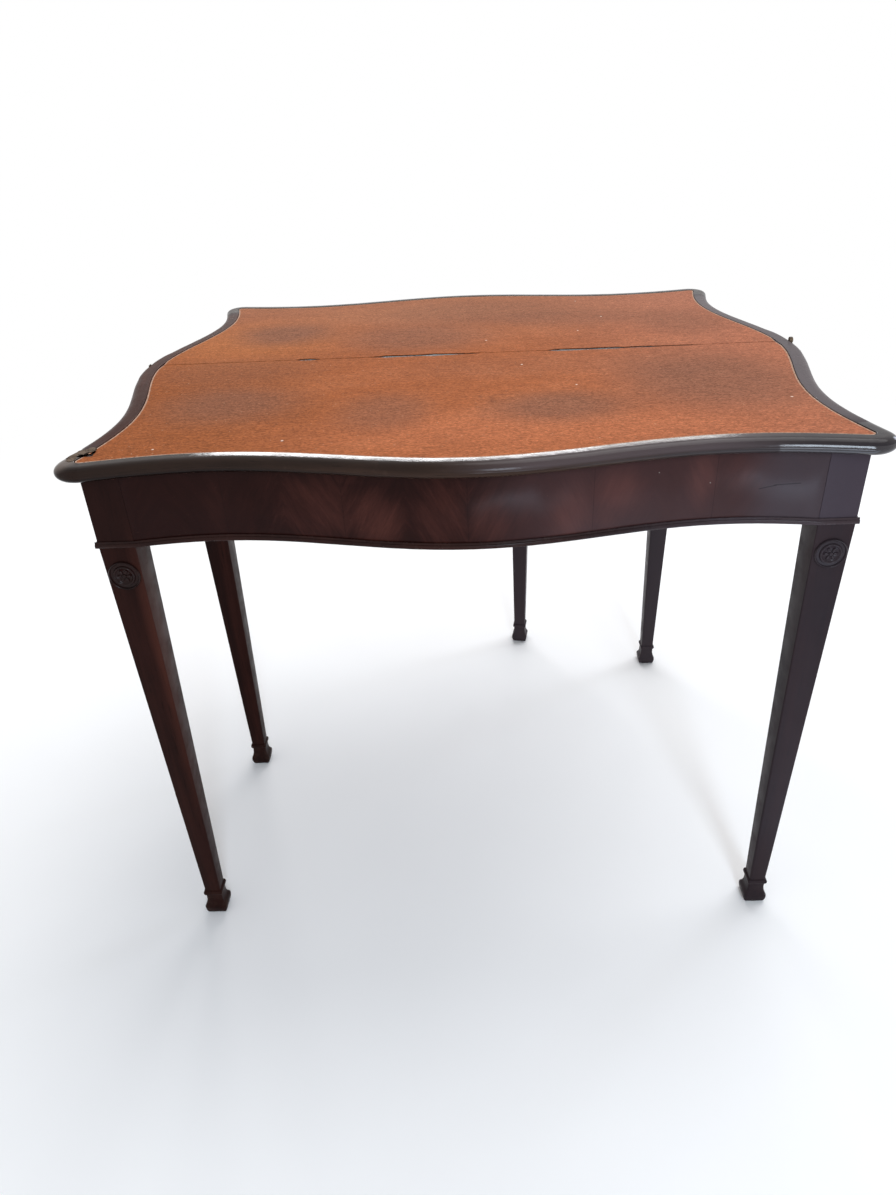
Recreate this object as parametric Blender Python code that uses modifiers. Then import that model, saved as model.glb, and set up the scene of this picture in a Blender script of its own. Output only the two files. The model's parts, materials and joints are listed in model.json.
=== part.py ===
"""Serpentine fold-over card table, standing open on its two gate legs.

Metres, +Z up. The origin is on the floor under the middle of the open top, so the seam between
the two leaves lies over the X axis, the front leaf is at -Y and the rear leaf at +Y.
"""
import math

import bmesh
import bpy
from mathutils import Vector

# Sizes of the open top
top_height = 0.737
leaf_thickness = 0.018
leaf_depth = 0.456
seam_half_width = 0.484
side_wave = 0.0225
side_wave_length = 0.550
front_wave = 0.0215
front_wave_length = 0.585
tip_radius = 0.030
lipping_width = 0.026
baize_thickness = 0.0010
baize_drop = 0.0004
fold_gap = 0.0008

# Sizes of the frame under it
apron_height = 0.086
apron_thickness = 0.022
apron_overhang = 0.0155
side_hollow = 0.012
bead_height = 0.008
bead_depth = 0.0028
bead_fillet_depth = 0.0010
back_rail_thickness = 0.020
frame_back_inset = 0.0267
block_leg = 0.052
block_height = 0.060

# Sizes of a leg
leg_width = 0.0426
leg_inset = 0.074
ankle_width = 0.0236
ankle_height = 0.0430
collar_width = 0.0282
collar_height = 0.0075
neck_width = 0.0240
neck_height = 0.0215
spade_width = 0.0324
spade_height = 0.0130
spade_band = 0.0055
sole_width = 0.0300
sole_edge_width = 0.0280
sole_edge_height = 0.0020
rosette_radius = 0.0188
rosette_depth = 0.0035
rosette_drop = 0.037

# Sizes of the two gates
gate_thickness = 0.020
right_gate_pin_inset = 0.0505
right_gate_open_angle = math.radians(90)
right_gate_park_gap = 0.0022
centre_gate_pin_x = 0.045
centre_gate_open_angle = math.radians(100.5)
centre_gate_park_gap = 0.0263
centre_block_length = 0.032
gate_pin_radius = 0.0030
knuckle_count = 5
notch_clearance = 0.0015

# Sizes of the brass and the screws
hinge_thickness = 0.0040
hinge_length = 0.050
hinge_height = 0.0120
hinge_eye_radius = 0.0048
hinge_pin_radius = 0.0016
hinge_pin_head_radius = 0.0026
hinge_pin_head_length = 0.0008
hinge_set_in = 0.0060
hinge_screw_spacing = 0.028
hinge_screw_head_radius = 0.0030
hinge_screw_radius = 0.0014
hinge_screw_length = 0.014
top_screw_head_radius = 0.0045
top_screw_radius = 0.0021
top_screw_head_length = 0.003
top_screw_bite = 0.010

# Clearances
gap = 0.0003
turning_gap = 0.0006
overrun = 0.010
merge_distance = 0.00003

# Counts and angles
side_steps = 16
front_steps = 18
tip_steps = 5
edge_steps = 3
round_steps = 24
small_round_steps = 12
bead_steps = 5
block_steps = 4
tip_search_rounds = 60
sharp_angle = math.radians(40)
square_turn = math.radians(45)

# Place of a top-fixing screw in from its corner, as a share of its block's leg
block_screw_share = 0.26

# Part of a leg's collar that each of its two sloping faces takes
collar_slope_share = 0.25

# Shares of the rosette's radius and depth, from its middle outwards
rosette_radius_shares = (0, 0.16, 0.24, 0.44, 0.54, 0.64, 0.71, 0.82, 0.91, 1, 1)
rosette_depth_shares = (1, 0.94, 0.55, 0.42, 0.78, 0.78, 0.36, 0.40, 0.92, 0.60, 0)
# Height of the bead's rounded nose as a share of the whole bead
bead_round_share = 0.70

# Heights and lines worked out from the sizes
leaf_bottom = top_height - leaf_thickness
frame_top = leaf_bottom - gap
frame_bottom = frame_top - apron_height
fold_height = top_height + fold_gap / 2
leg_half = leg_width / 2
leg_spread = seam_half_width - leg_inset
leg_outer = leg_spread + leg_half
leg_inner = leg_spread - leg_half
board_inset = lipping_width + gap
board_top = top_height - baize_drop - baize_thickness - gap
gate_half = gate_thickness / 2
gate_y = -frame_back_inset - gate_half
rail_back = -frame_back_inset - gate_thickness - turning_gap
rail_front = rail_back - back_rail_thickness
rear_leg_front = -frame_back_inset - leg_width
block_bottom = frame_top - block_height


def clear_scene():
    for item in list(bpy.data.objects):
        bpy.data.objects.remove(item)


def new_collection(name):
    collection = bpy.data.collections.new(name)
    bpy.context.scene.collection.children.link(collection)
    return collection


def new_material(name, colour, roughness, metallic=0.0):
    material = bpy.data.materials.new(name)
    material.use_nodes = True
    shader = material.node_tree.nodes["Principled BSDF"]
    shader.inputs["Base Color"].default_value = (*colour, 1.0)
    shader.inputs["Roughness"].default_value = roughness
    shader.inputs["Metallic"].default_value = metallic
    material.diffuse_color = (*colour, 1.0)
    return material


clear_scene()
parts = new_collection("fold_over_card_table")
cutters = new_collection("cutters")

board_wood = new_material("board_wood", (0.16, 0.075, 0.040), 0.45)
edge_wood = new_material("edge_wood", (0.050, 0.026, 0.020), 0.25)
baize = new_material("baize", (0.56, 0.25, 0.09), 0.90)
apron_veneer = new_material("apron_veneer", (0.120, 0.030, 0.018), 0.22)
leg_wood = new_material("leg_wood", (0.070, 0.024, 0.018), 0.28)
inner_wood = new_material("inner_wood", (0.24, 0.14, 0.075), 0.65)
brass = new_material("brass", (0.42, 0.30, 0.13), 0.38, 1.0)
iron = new_material("iron", (0.16, 0.15, 0.14), 0.50, 1.0)


def keep(item, name, material, collection):
    """Name an object, give it its one material and put it in one collection."""
    item.name = name
    item.data.name = name
    for other in list(item.users_collection):
        other.objects.unlink(item)
    collection.objects.link(item)
    item.data.materials.clear()
    item.data.materials.append(material)
    return item


def as_cutter(item):
    """Move an object to the cutters, where it only shapes other pieces."""
    for other in list(item.users_collection):
        other.objects.unlink(item)
    cutters.objects.link(item)
    item.hide_render = True
    item.display_type = "WIRE"
    return item


def mesh_object(name, material, mesh_builder):
    """One object from a bmesh."""
    mesh = bpy.data.meshes.new(name)
    mesh_builder.to_mesh(mesh)
    mesh_builder.free()
    return keep(bpy.data.objects.new(name, mesh), name, material, parts)


def box(name, material, low, high):
    """A rectangular block between two corners, with its origin at its middle."""
    size = [b - a for a, b in zip(low, high)]
    builder = bmesh.new()
    bmesh.ops.create_cube(builder, size=1.0)
    bmesh.ops.scale(builder, vec=size, verts=builder.verts)
    item = mesh_object(name, material, builder)
    item.location = [(a + b) / 2 for a, b in zip(low, high)]
    return item


def rod(name, material, radius, start, end, steps=round_steps):
    """A round bar between two points."""
    start, end = Vector(start), Vector(end)
    builder = bmesh.new()
    bmesh.ops.create_cone(builder, cap_ends=True, segments=steps, radius1=radius, radius2=radius,
                          depth=(end - start).length)
    item = mesh_object(name, material, builder)
    item.location = (start + end) / 2
    item.rotation_euler = (end - start).to_track_quat("Z", "Y").to_euler()
    item.data.shade_smooth()
    item.data.set_sharp_from_angle(angle=sharp_angle)
    return item


def turned(name, material, profile, steps, smooth=True):
    """A shape turned about its own Z from (radius, height) points that run from top to bottom."""
    builder = bmesh.new()
    points = [builder.verts.new((radius, 0, height)) for radius, height in profile]
    for first, second in zip(points, points[1:]):
        builder.edges.new((first, second))
    item = mesh_object(name, material, builder)
    screw = item.modifiers.new("turn", "SCREW")
    screw.steps = steps
    screw.render_steps = steps
    screw.use_merge_vertices = True
    screw.merge_threshold = merge_distance
    screw.use_smooth_shade = smooth
    return item


def settled(item):
    """Turn an object and its modifiers into a plain mesh object in the same place."""
    mesh = bpy.data.meshes.new_from_object(item.evaluated_get(bpy.context.evaluated_depsgraph_get()))
    solid = bpy.data.objects.new(item.name, mesh)
    solid.matrix_world = item.matrix_world.copy()
    bpy.data.objects.remove(item)
    builder = bmesh.new()
    builder.from_mesh(mesh)
    bmesh.ops.remove_doubles(builder, verts=builder.verts, dist=merge_distance)
    bmesh.ops.recalc_face_normals(builder, faces=builder.faces)
    builder.to_mesh(mesh)
    builder.free()
    return solid


def plate(name, material, outline, low, high, edge_radius=0.0):
    """A flat outline made into a board between two heights. An edge radius rounds it outwards."""
    curve = bpy.data.curves.new(name, "CURVE")
    curve.dimensions = "2D"
    curve.fill_mode = "BOTH"
    curve.extrude = (high - low) / 2 - edge_radius
    curve.bevel_depth = edge_radius
    curve.bevel_resolution = edge_steps
    spline = curve.splines.new("POLY")
    spline.points.add(len(outline) - 1)
    for point, (x, y) in zip(spline.points, outline):
        point.co = (x, y, 0, 1)
    spline.use_cyclic_u = True
    item = bpy.data.objects.new(name, curve)
    bpy.context.scene.collection.objects.link(item)
    item.location.z = (low + high) / 2
    bpy.context.view_layer.update()
    return keep(settled(item), name, material, parts)


def strip(name, material, line, section):
    """A moulding: a closed section, given as (outwards, up) points, carried along a level line."""
    rail = bpy.data.curves.new(name, "CURVE")
    rail.dimensions = "2D"
    guide_curve = bpy.data.curves.new(name + "_section", "CURVE")
    guide_curve.dimensions = "2D"
    for curve, points in ((rail, line), (guide_curve, section)):
        spline = curve.splines.new("POLY")
        spline.points.add(len(points) - 1)
        for point, (x, y) in zip(spline.points, points):
            point.co = (x, y, 0, 1)
    guide_curve.splines[0].use_cyclic_u = True
    guide = as_cutter(bpy.data.objects.new(name + "_section", guide_curve))
    rail.bevel_mode = "OBJECT"
    rail.bevel_object = guide
    rail.use_fill_caps = True
    item = bpy.data.objects.new(name, rail)
    bpy.context.scene.collection.objects.link(item)
    bpy.context.view_layer.update()
    return keep(settled(item), name, material, parts)


def combine(item, other, operation):
    """Join another object to this one, or take it away, with a Boolean."""
    as_cutter(other)
    boolean = item.modifiers.new(other.name, "BOOLEAN")
    boolean.operation = operation
    boolean.object = other
    boolean.solver = "EXACT"


def cut(item, other):
    combine(item, other, "DIFFERENCE")


def join(item, other):
    combine(item, other, "UNION")


def carry_to(item, parent):
    """Parent an object to an empty or a piece without moving it."""
    bpy.context.view_layer.update()
    item.parent = parent
    item.matrix_parent_inverse = parent.matrix_world.inverted()


# Outline of a leaf

def side_line(y):
    """Half width of the top at a distance y from the seam."""
    return seam_half_width - side_wave * (1 - math.cos(2 * math.pi * y / side_wave_length))


def front_line(x):
    """Depth of a leaf at a distance x from the middle."""
    return leaf_depth - front_wave * (1 - math.cos(2 * math.pi * x / front_wave_length))


def side_point(y, inset):
    """Point of the side, moved in square to the side."""
    slope = -side_wave * 2 * math.pi / side_wave_length * math.sin(2 * math.pi * y / side_wave_length)
    length = math.hypot(1, slope)
    return side_line(y) - inset / length, y + inset * slope / length


def front_point(x, inset):
    """Point of the front, moved in square to the front."""
    slope = -front_wave * 2 * math.pi / front_wave_length * math.sin(2 * math.pi * x / front_wave_length)
    length = math.hypot(1, slope)
    return x + inset * slope / length, front_line(x) - inset / length


def find_tip():
    """Feet on the side and the front of the arc that rounds the tip."""
    y, x = leaf_depth, seam_half_width
    for _ in range(tip_search_rounds):
        centre_x, reached_y = side_point(y, tip_radius)
        reached_x, centre_y = front_point(x, tip_radius)
        y += centre_y - reached_y
        x += centre_x - reached_x
    return y, x


tip_side_y, tip_front_x = find_tip()


def leaf_half(inset):
    """Right half of a leaf, from the seam round the tip to the middle of the front."""
    points = [side_point(tip_side_y * step / side_steps, inset) for step in range(side_steps)]
    centre = Vector(side_point(tip_side_y, tip_radius))
    first = Vector(side_point(tip_side_y, 0)) - centre
    last = Vector(front_point(tip_front_x, 0)) - centre
    turn = first.angle(last)
    for step in range(tip_steps + 1):
        angle = math.atan2(first.y, first.x) + turn * step / tip_steps
        reach = tip_radius - inset
        points.append((centre.x + reach * math.cos(angle), centre.y + reach * math.sin(angle)))
    points += [front_point(tip_front_x * (1 - step / front_steps), inset)
               for step in range(1, front_steps + 1)]
    return points


def leaf_outline(inset, seam, facing):
    """Closed outline of a leaf whose seam edge is at a given distance. Facing is -1 for the front."""
    half = leaf_half(inset)
    kept = half if seam < 0 else half[1:]
    right = [(x, facing * y) for x, y in [(half[0][0], seam)] + kept]
    left = [(-x, y) for x, y in reversed(right[:-1])]
    outline = right + left
    if facing < 0:
        outline.reverse()
    return outline


# Leaves

def make_leaf(side, facing):
    """Board, lipping and baize of one leaf."""
    board_outline = leaf_outline(board_inset, gap, facing)
    board = plate(side + "_leaf_board", board_wood, board_outline, leaf_bottom, board_top)
    sheet_outline = leaf_outline(board_inset, gap, facing)
    sheet = plate(side + "_baize", baize, sheet_outline, board_top + gap, top_height - baize_drop)

    rounding = leaf_thickness / 2
    past_seam = lipping_width + rounding + overrun
    blank_outline = leaf_outline(rounding, -lipping_width, facing)
    lipping = plate(side + "_lipping", edge_wood, blank_outline, leaf_bottom, top_height, rounding)
    opening_outline = leaf_outline(lipping_width, -past_seam, facing)
    opening = plate(side + "_lipping_opening", edge_wood, opening_outline,
                    leaf_bottom - overrun, top_height + overrun)
    cut(lipping, opening)
    seam_edges = sorted((facing * gap, -facing * past_seam))
    cut(lipping, box(side + "_lipping_seam", edge_wood,
                     (-seam_half_width - overrun, seam_edges[0], leaf_bottom - overrun),
                     (seam_half_width + overrun, seam_edges[1], top_height + overrun)))
    return board, lipping, sheet


front_board, front_lipping, _ = make_leaf("front", -1)
rear_board, rear_lipping, rear_baize = make_leaf("rear", 1)


# Brass hinges at the two ends of the seam

plate_face = seam_half_width - hinge_set_in
plate_outer = plate_face + gap + hinge_thickness
eye_split = plate_face + gap + hinge_thickness / 2
hinge_middle = top_height - leaf_thickness / 2
hinge_low = hinge_middle - hinge_height / 2
hinge_high = hinge_middle + hinge_height / 2
eye_reach = hinge_eye_radius + turning_gap


def screw_profile(head_radius, radius, head_length, length):
    """Outline of a countersunk screw whose flat head lies at height 0 and whose point is below."""
    return [(0, 0), (head_radius, 0), (radius, -head_length), (radius, -length + radius), (0, -length)]


def swollen(profile, clearance):
    """The same turned outline with room around it, for the hole that takes it."""
    top, *middle, bottom = profile
    wide = [(radius + clearance, height) for radius, height in middle]
    return [(top[0], top[1] + clearance), (wide[0][0], top[1] + clearance), *wide,
            (bottom[0], bottom[1] - clearance)]


def stand(item, place, direction):
    """Put a turned piece somewhere with its top facing a direction."""
    item.location = place
    item.rotation_euler = Vector(direction).to_track_quat("Z", "Y").to_euler()
    return item


def make_hinge_plate(name, end, facing, lipping):
    """One brass plate let into the end of a leaf, with its eye on the folding axis."""
    eye_low = plate_face + gap if facing < 0 else eye_split + gap / 2
    eye_high = eye_split - gap / 2 if facing < 0 else plate_outer
    flap_ys = sorted((facing * eye_reach, facing * hinge_length))
    flap = box(name, brass, (min(end * (plate_face + gap), end * plate_outer), flap_ys[0], hinge_low),
               (max(end * (plate_face + gap), end * plate_outer), flap_ys[1], hinge_high))
    eye_ends = sorted((end * eye_low, end * eye_high))
    arm_ys = sorted((facing * gap, facing * (eye_reach + hinge_thickness)))
    join(flap, box(name + "_arm", brass, (eye_ends[0], arm_ys[0], hinge_low),
                   (eye_ends[1], arm_ys[1], hinge_high)))
    join(flap, rod(name + "_eye", brass, hinge_eye_radius, (eye_ends[0], 0, fold_height),
                   (eye_ends[1], 0, fold_height)))
    cut(flap, rod(name + "_pin_hole", brass, hinge_pin_radius + gap,
                  (end * (plate_face - overrun), 0, fold_height),
                  (end * (plate_outer + overrun), 0, fold_height)))
    recess_ys = sorted((-facing * overrun, facing * (hinge_length + gap)))
    recess_ends = sorted((end * plate_face, end * (plate_outer + overrun)))
    cut(lipping, box(name + "_recess", edge_wood, (recess_ends[0], recess_ys[0], leaf_bottom - overrun),
                     (recess_ends[1], recess_ys[1], top_height + overrun)))
    screws = []
    profile = screw_profile(hinge_screw_head_radius, hinge_screw_radius, hinge_screw_head_radius,
                            hinge_screw_length)
    first = (hinge_length + eye_reach - hinge_screw_spacing) / 2
    for number, y in enumerate((first, first + hinge_screw_spacing), 1):
        place = (end * plate_outer, facing * y, hinge_middle)
        screw_name = name + "_screw_" + str(number)
        screws.append(stand(turned(screw_name, brass, profile, small_round_steps), place, (end, 0, 0)))
        for target in (flap, lipping):
            hole = turned(target.name + "_hole_" + str(number), brass, swollen(profile, gap),
                          small_round_steps)
            cut(target, stand(hole, place, (end, 0, 0)))
    return [flap, *screws]


def make_hinge(side, end):
    """Both plates, the screws and the pin of one hinge. It gives back what turns with the rear leaf."""
    make_hinge_plate(side + "_hinge_front_plate", end, -1, front_lipping)
    moving = make_hinge_plate(side + "_hinge_rear_plate", end, 1, rear_lipping)
    profile = [(0, hinge_pin_head_length), (hinge_pin_head_radius, hinge_pin_head_length),
               (hinge_pin_head_radius, 0), (hinge_pin_radius, 0), (hinge_pin_radius, -hinge_thickness),
               (0, -hinge_thickness)]
    pin = turned(side + "_hinge_pin", brass, profile, small_round_steps)
    stand(pin, (end * (plate_outer + gap), 0, fold_height), (end, 0, 0))
    return moving


left_moving = make_hinge("left", -1)
right_moving = make_hinge("right", 1)


# Legs

def leg_profile():
    """Half widths and heights of a leg, from its head down to its sole."""
    collar_foot = ankle_height - collar_height
    collar_slope = collar_height * collar_slope_share
    widths = [(0, frame_top), (leg_width, frame_top), (leg_width, frame_bottom),
              (ankle_width, ankle_height), (collar_width, ankle_height - collar_slope),
              (collar_width, collar_foot + collar_slope),
              (neck_width, collar_foot), (neck_width, neck_height),
              (spade_width, spade_height), (spade_width, spade_height - spade_band),
              (sole_width, sole_edge_height), (sole_edge_width, 0), (0, 0)]
    return [(width / 2, height) for width, height in widths]


def make_leg(name, x, y):
    """A square leg: its profile turned in four steps, with its faces square to the axes."""
    profile = [(half * math.sqrt(2), height) for half, height in leg_profile()]
    leg = turned(name, leg_wood, profile, 4, smooth=False)
    leg.rotation_euler.z = square_turn
    leg.location = (x, y, 0)
    return leg


leg_front = -(front_line(leg_inner) - apron_overhang)
front_leg_y = leg_front + leg_half
rear_leg_y = -frame_back_inset - leg_half
make_leg("front_left_leg", -leg_spread, front_leg_y)
make_leg("front_right_leg", leg_spread, front_leg_y)
make_leg("rear_left_leg", -leg_spread, rear_leg_y)


# Rosettes on the two front legs

def make_rosette(name, x):
    """A turned rosette flat against the tapered front face of a leg."""
    taper = (leg_half - ankle_width / 2) / (frame_bottom - ankle_height)
    outward = Vector((0, -1, -taper)).normalized()
    face = Vector((x, leg_front + taper * rosette_drop, frame_bottom - rosette_drop))
    profile = [(rosette_radius * across, rosette_depth * deep)
               for across, deep in zip(rosette_radius_shares, rosette_depth_shares)]
    rosette = turned(name, leg_wood, profile + [(0, 0)], round_steps)
    return stand(rosette, face + outward * gap, outward)


make_rosette("left_rosette", -leg_spread)
make_rosette("right_rosette", leg_spread)


# Aprons and the back rail

def apron_front(x):
    """Y of the outer face of the front apron, flat across the legs."""
    return -(front_line(min(abs(x), leg_inner)) - apron_overhang)


hollow_start = leg_front + leg_width
hollow_end = rear_leg_front


def apron_side(y):
    """Distance of the outer face of a side apron from the middle, flat across the legs."""
    share = min(max((y - hollow_start) / (hollow_end - hollow_start), 0), 1)
    return leg_outer - side_hollow * (1 - math.cos(2 * math.pi * share)) / 2


def spread(start, end, steps):
    return [start + (end - start) * step / steps for step in range(steps + 1)]


def make_front_apron():
    reach = leg_inner - gap
    face = [(x, apron_front(x)) for x in spread(-reach, reach, 2 * front_steps)]
    back = [(x, y + apron_thickness) for x, y in reversed(face)]
    return plate("front_apron", apron_veneer, face + back, frame_bottom, frame_top)


def make_side_apron(name, end, back_y):
    """A hollowed apron between the front leg and a given back end."""
    stations = spread(hollow_start + gap, hollow_end - gap, side_steps)
    if back_y > hollow_end:
        stations.append(back_y)
    face = [(end * apron_side(y), y) for y in stations]
    back = [(x - end * apron_thickness, y) for x, y in reversed(face)]
    return plate(name, apron_veneer, face + back, frame_bottom, frame_top)


make_front_apron()
make_side_apron("left_apron", -1, hollow_end - gap)
make_side_apron("right_apron", 1, -frame_back_inset)
rail_right = apron_side(hollow_end) - apron_thickness - gap
box("back_rail", inner_wood, (-leg_inner + gap, rail_front, frame_bottom),
    (rail_right, rail_back, frame_top))


# Beads along the foot of the aprons and across the heads of the legs

def bead_section():
    """A rounded nose with a thin fillet above it, as (outwards, up) points."""
    nose = bead_height * bead_round_share
    points = [(0, 0)]
    for angle in spread(-math.pi / 2, math.pi / 2, bead_steps):
        points.append((bead_fillet_depth + (bead_depth - bead_fillet_depth) * math.cos(angle),
                       nose * (1 + math.sin(angle)) / 2))
    return points + [(bead_fillet_depth, bead_height), (0, bead_height)]


def make_bead(name, line):
    bead = strip(name, apron_veneer, line, bead_section())
    bead.location.z = frame_bottom


front_stations = [-leg_outer - bead_depth, *spread(-leg_inner, leg_inner, 2 * front_steps),
                  leg_outer + bead_depth]
side_stations = [leg_front, *spread(hollow_start, hollow_end, side_steps), -frame_back_inset]
make_bead("front_bead", [(x, apron_front(x) - gap) for x in front_stations])
make_bead("right_bead", [(apron_side(y) + gap, y) for y in side_stations])
make_bead("left_bead", [(-apron_side(y) - gap, y) for y in reversed(side_stations)])


# Corner blocks inside the frame, each with a screw up into the front leaf

def inner_front(x):
    return apron_front(x) + apron_thickness + gap


def inner_side(y):
    return apron_side(y) - apron_thickness - gap


def front_block():
    """Outline of a right-hand front block, fitted round the inner corner of the leg, and that corner."""
    beside_leg = leg_inner - gap
    behind_leg = hollow_start + gap
    points = [(x, inner_front(x)) for x in spread(beside_leg, beside_leg - block_leg, block_steps)]
    points += [(inner_side(y), y) for y in spread(behind_leg + block_leg, behind_leg, block_steps)]
    points.append((beside_leg, behind_leg))
    return points, (beside_leg, behind_leg), 1


def rear_leg_block():
    """Outline of a block between a rear leg, its apron and the back rail, and the leg's corner."""
    beside_leg = leg_inner - gap
    before_leg = rear_leg_front - gap
    before_rail = rail_front - gap
    points = [(beside_leg, before_leg), (beside_leg, before_rail), (beside_leg - block_leg, before_rail)]
    points += [(inner_side(y), y) for y in spread(before_leg - block_leg, before_leg, block_steps)]
    return points, (beside_leg, before_leg), -1


def rear_apron_block():
    """Outline of a block in the corner of an apron and the back rail, and that corner."""
    before_rail = rail_front - gap
    points = [(inner_side(before_rail) - block_leg, before_rail)]
    points += [(inner_side(y), y) for y in spread(before_rail - block_leg, before_rail, block_steps)]
    return points, (inner_side(before_rail), before_rail), -1


def make_corner_block(place, shape, end):
    """A glue block and its screw. Its shape is an outline, a corner and the way in from the corner."""
    points, (corner_x, corner_y), inwards = shape
    outline = [(end * x, y) for x, y in points]
    block = plate(place + "_corner_block", inner_wood, outline, block_bottom, frame_top)
    step_in = block_leg * block_screw_share
    foot = (end * (corner_x - step_in), corner_y + inwards * step_in, block_bottom)
    profile = screw_profile(top_screw_head_radius, top_screw_radius, top_screw_head_length,
                            block_height + top_screw_bite)
    screw = turned(place + "_top_screw", iron, profile, small_round_steps)
    stand(screw, foot, (0, 0, -1))
    for target in (block, front_board):
        hole = turned(place + "_hole_in_" + target.name, iron, swollen(profile, gap), small_round_steps)
        cut(target, stand(hole, foot, (0, 0, -1)))


make_corner_block("front_left", front_block(), -1)
make_corner_block("front_right", front_block(), 1)
make_corner_block("rear_left", rear_leg_block(), -1)
make_corner_block("rear_right", rear_apron_block(), 1)


# Gates, each on a wooden knuckle joint

def knuckle_levels():
    """Bottom and top of each finger of a knuckle joint."""
    edges = spread(frame_bottom, frame_top, knuckle_count)
    return list(zip(edges, edges[1:]))


def knuckled_rail(name, material, length, open_angle, first_level):
    """A rail along +X whose round end turns on the pin at the origin. It keeps every second finger."""
    rounded = [(-gate_half * math.sin(angle), gate_half * math.cos(angle))
               for angle in spread(0, math.pi, small_round_steps)]
    outline = rounded + [(length, -gate_half), (length, gate_half)]
    rail = plate(name, material, outline, frame_bottom, frame_top)
    lean = max(math.cos(math.pi - open_angle), 0)
    shoulder = (gate_half * (1 + lean) + turning_gap) / math.sin(math.pi - open_angle)
    for number, (low, high) in enumerate(knuckle_levels()):
        if number % 2 == first_level:
            continue
        low = low - overrun if number == 0 else low - gap / 2
        high = high + overrun if number == knuckle_count - 1 else high + gap / 2
        cut(rail, box(name + "_space_" + str(number), material, (-gate_half - overrun, -gate_thickness, low),
                      (shoulder, gate_thickness, high)))
    cut(rail, rod(name + "_pin_hole", material, gate_pin_radius + gap, (0, 0, frame_bottom - overrun),
                  (0, 0, frame_top + overrun), small_round_steps))
    return rail


def hang(pivot, items):
    """Give pieces that were built round the origin, and their cutters, the place of their pivot."""
    for item in items:
        item.parent = pivot
        for modifier in item.modifiers:
            if modifier.type == "BOOLEAN":
                modifier.object.parent = pivot


def new_pivot(name, place, turn=0.0):
    pivot = bpy.data.objects.new(name, None)
    parts.objects.link(pivot)
    pivot.location = place
    pivot.rotation_euler.z = turn
    pivot.empty_display_size = leg_width
    return pivot


def make_gate(side, pin_x, reach, open_angle, block_length):
    """Gate rail, gate leg, fixed knuckle block and pin. The rail and the leg turn on the pin."""
    pivot = new_pivot(side + "_gate_pivot", (pin_x, gate_y, 0), math.pi - open_angle)
    rail = knuckled_rail(side + "_gate_rail", inner_wood, reach - leg_half - gap, open_angle, 1)
    leg_offset = leg_half - gate_half
    leg = make_leg(side + "_gate_leg", reach, leg_offset)
    shoulder = frame_bottom - notch_clearance
    cut(leg, box(side + "_gate_leg_notch", leg_wood,
                 (reach - leg_half - overrun, gate_half, shoulder),
                 (reach + leg_half + overrun, leg_offset + leg_half + overrun, frame_top + overrun)))
    hang(pivot, [rail, leg])

    socket = new_pivot(side + "_knuckle_place", (pin_x, gate_y, 0))
    block = knuckled_rail(side + "_knuckle_block", inner_wood, block_length, open_angle, 0)
    pin = rod(side + "_gate_pin", iron, gate_pin_radius, (0, 0, frame_bottom + gap),
              (0, 0, frame_top - gap), small_round_steps)
    hang(socket, [block, pin])


# Closed, the gates lie end to end along the back rail: the right gate parks against the centre
# knuckle block and the centre gate against the rear left leg
right_gate_pin_x = leg_outer - right_gate_pin_inset
right_gate_reach = (right_gate_pin_x - centre_gate_pin_x - centre_block_length
                    - right_gate_park_gap - leg_half)
centre_gate_reach = centre_gate_pin_x + leg_inner - centre_gate_park_gap - leg_half
make_gate("right", right_gate_pin_x, right_gate_reach, right_gate_open_angle, rail_right - right_gate_pin_x)
make_gate("centre", centre_gate_pin_x, centre_gate_reach, centre_gate_open_angle, centre_block_length)


# The rear leaf and its brass turn together on the folding axis
fold_pivot = new_pivot("fold_pivot", (0, 0, fold_height))
for piece in (rear_board, rear_lipping, rear_baize, *left_moving, *right_moving):
    carry_to(piece, fold_pivot)
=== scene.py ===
import json
import math

import bmesh
import bpy
from mathutils import Matrix, Vector, noise


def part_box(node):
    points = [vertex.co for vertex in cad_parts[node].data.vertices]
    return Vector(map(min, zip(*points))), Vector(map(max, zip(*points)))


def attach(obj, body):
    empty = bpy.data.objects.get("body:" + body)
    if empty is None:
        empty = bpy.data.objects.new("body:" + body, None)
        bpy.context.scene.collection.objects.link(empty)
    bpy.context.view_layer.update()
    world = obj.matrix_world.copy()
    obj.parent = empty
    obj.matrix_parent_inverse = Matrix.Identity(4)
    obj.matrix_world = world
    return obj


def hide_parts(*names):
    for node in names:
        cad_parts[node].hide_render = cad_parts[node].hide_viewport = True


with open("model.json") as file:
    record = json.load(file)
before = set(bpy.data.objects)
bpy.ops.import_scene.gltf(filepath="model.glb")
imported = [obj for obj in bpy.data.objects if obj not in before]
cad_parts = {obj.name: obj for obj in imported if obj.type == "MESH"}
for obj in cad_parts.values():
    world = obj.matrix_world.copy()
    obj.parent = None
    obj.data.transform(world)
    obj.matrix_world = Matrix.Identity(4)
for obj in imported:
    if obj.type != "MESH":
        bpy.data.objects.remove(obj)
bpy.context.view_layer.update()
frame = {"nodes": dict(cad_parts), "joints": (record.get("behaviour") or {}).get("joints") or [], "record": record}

nodes = frame["nodes"]
joints = {joint["name"]: joint for joint in frame["joints"]}

# Camera, read from the photograph
photo_width = 896
photo_height = 1195
focal_pixels = 836.22
camera_place = (-0.0026, -1.2657, 1.0543)
camera_yaw = math.radians(-1.9071)
camera_pitch = math.radians(30.3109)
camera_roll = math.radians(2.7167)
sensor_width = 36.0

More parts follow.
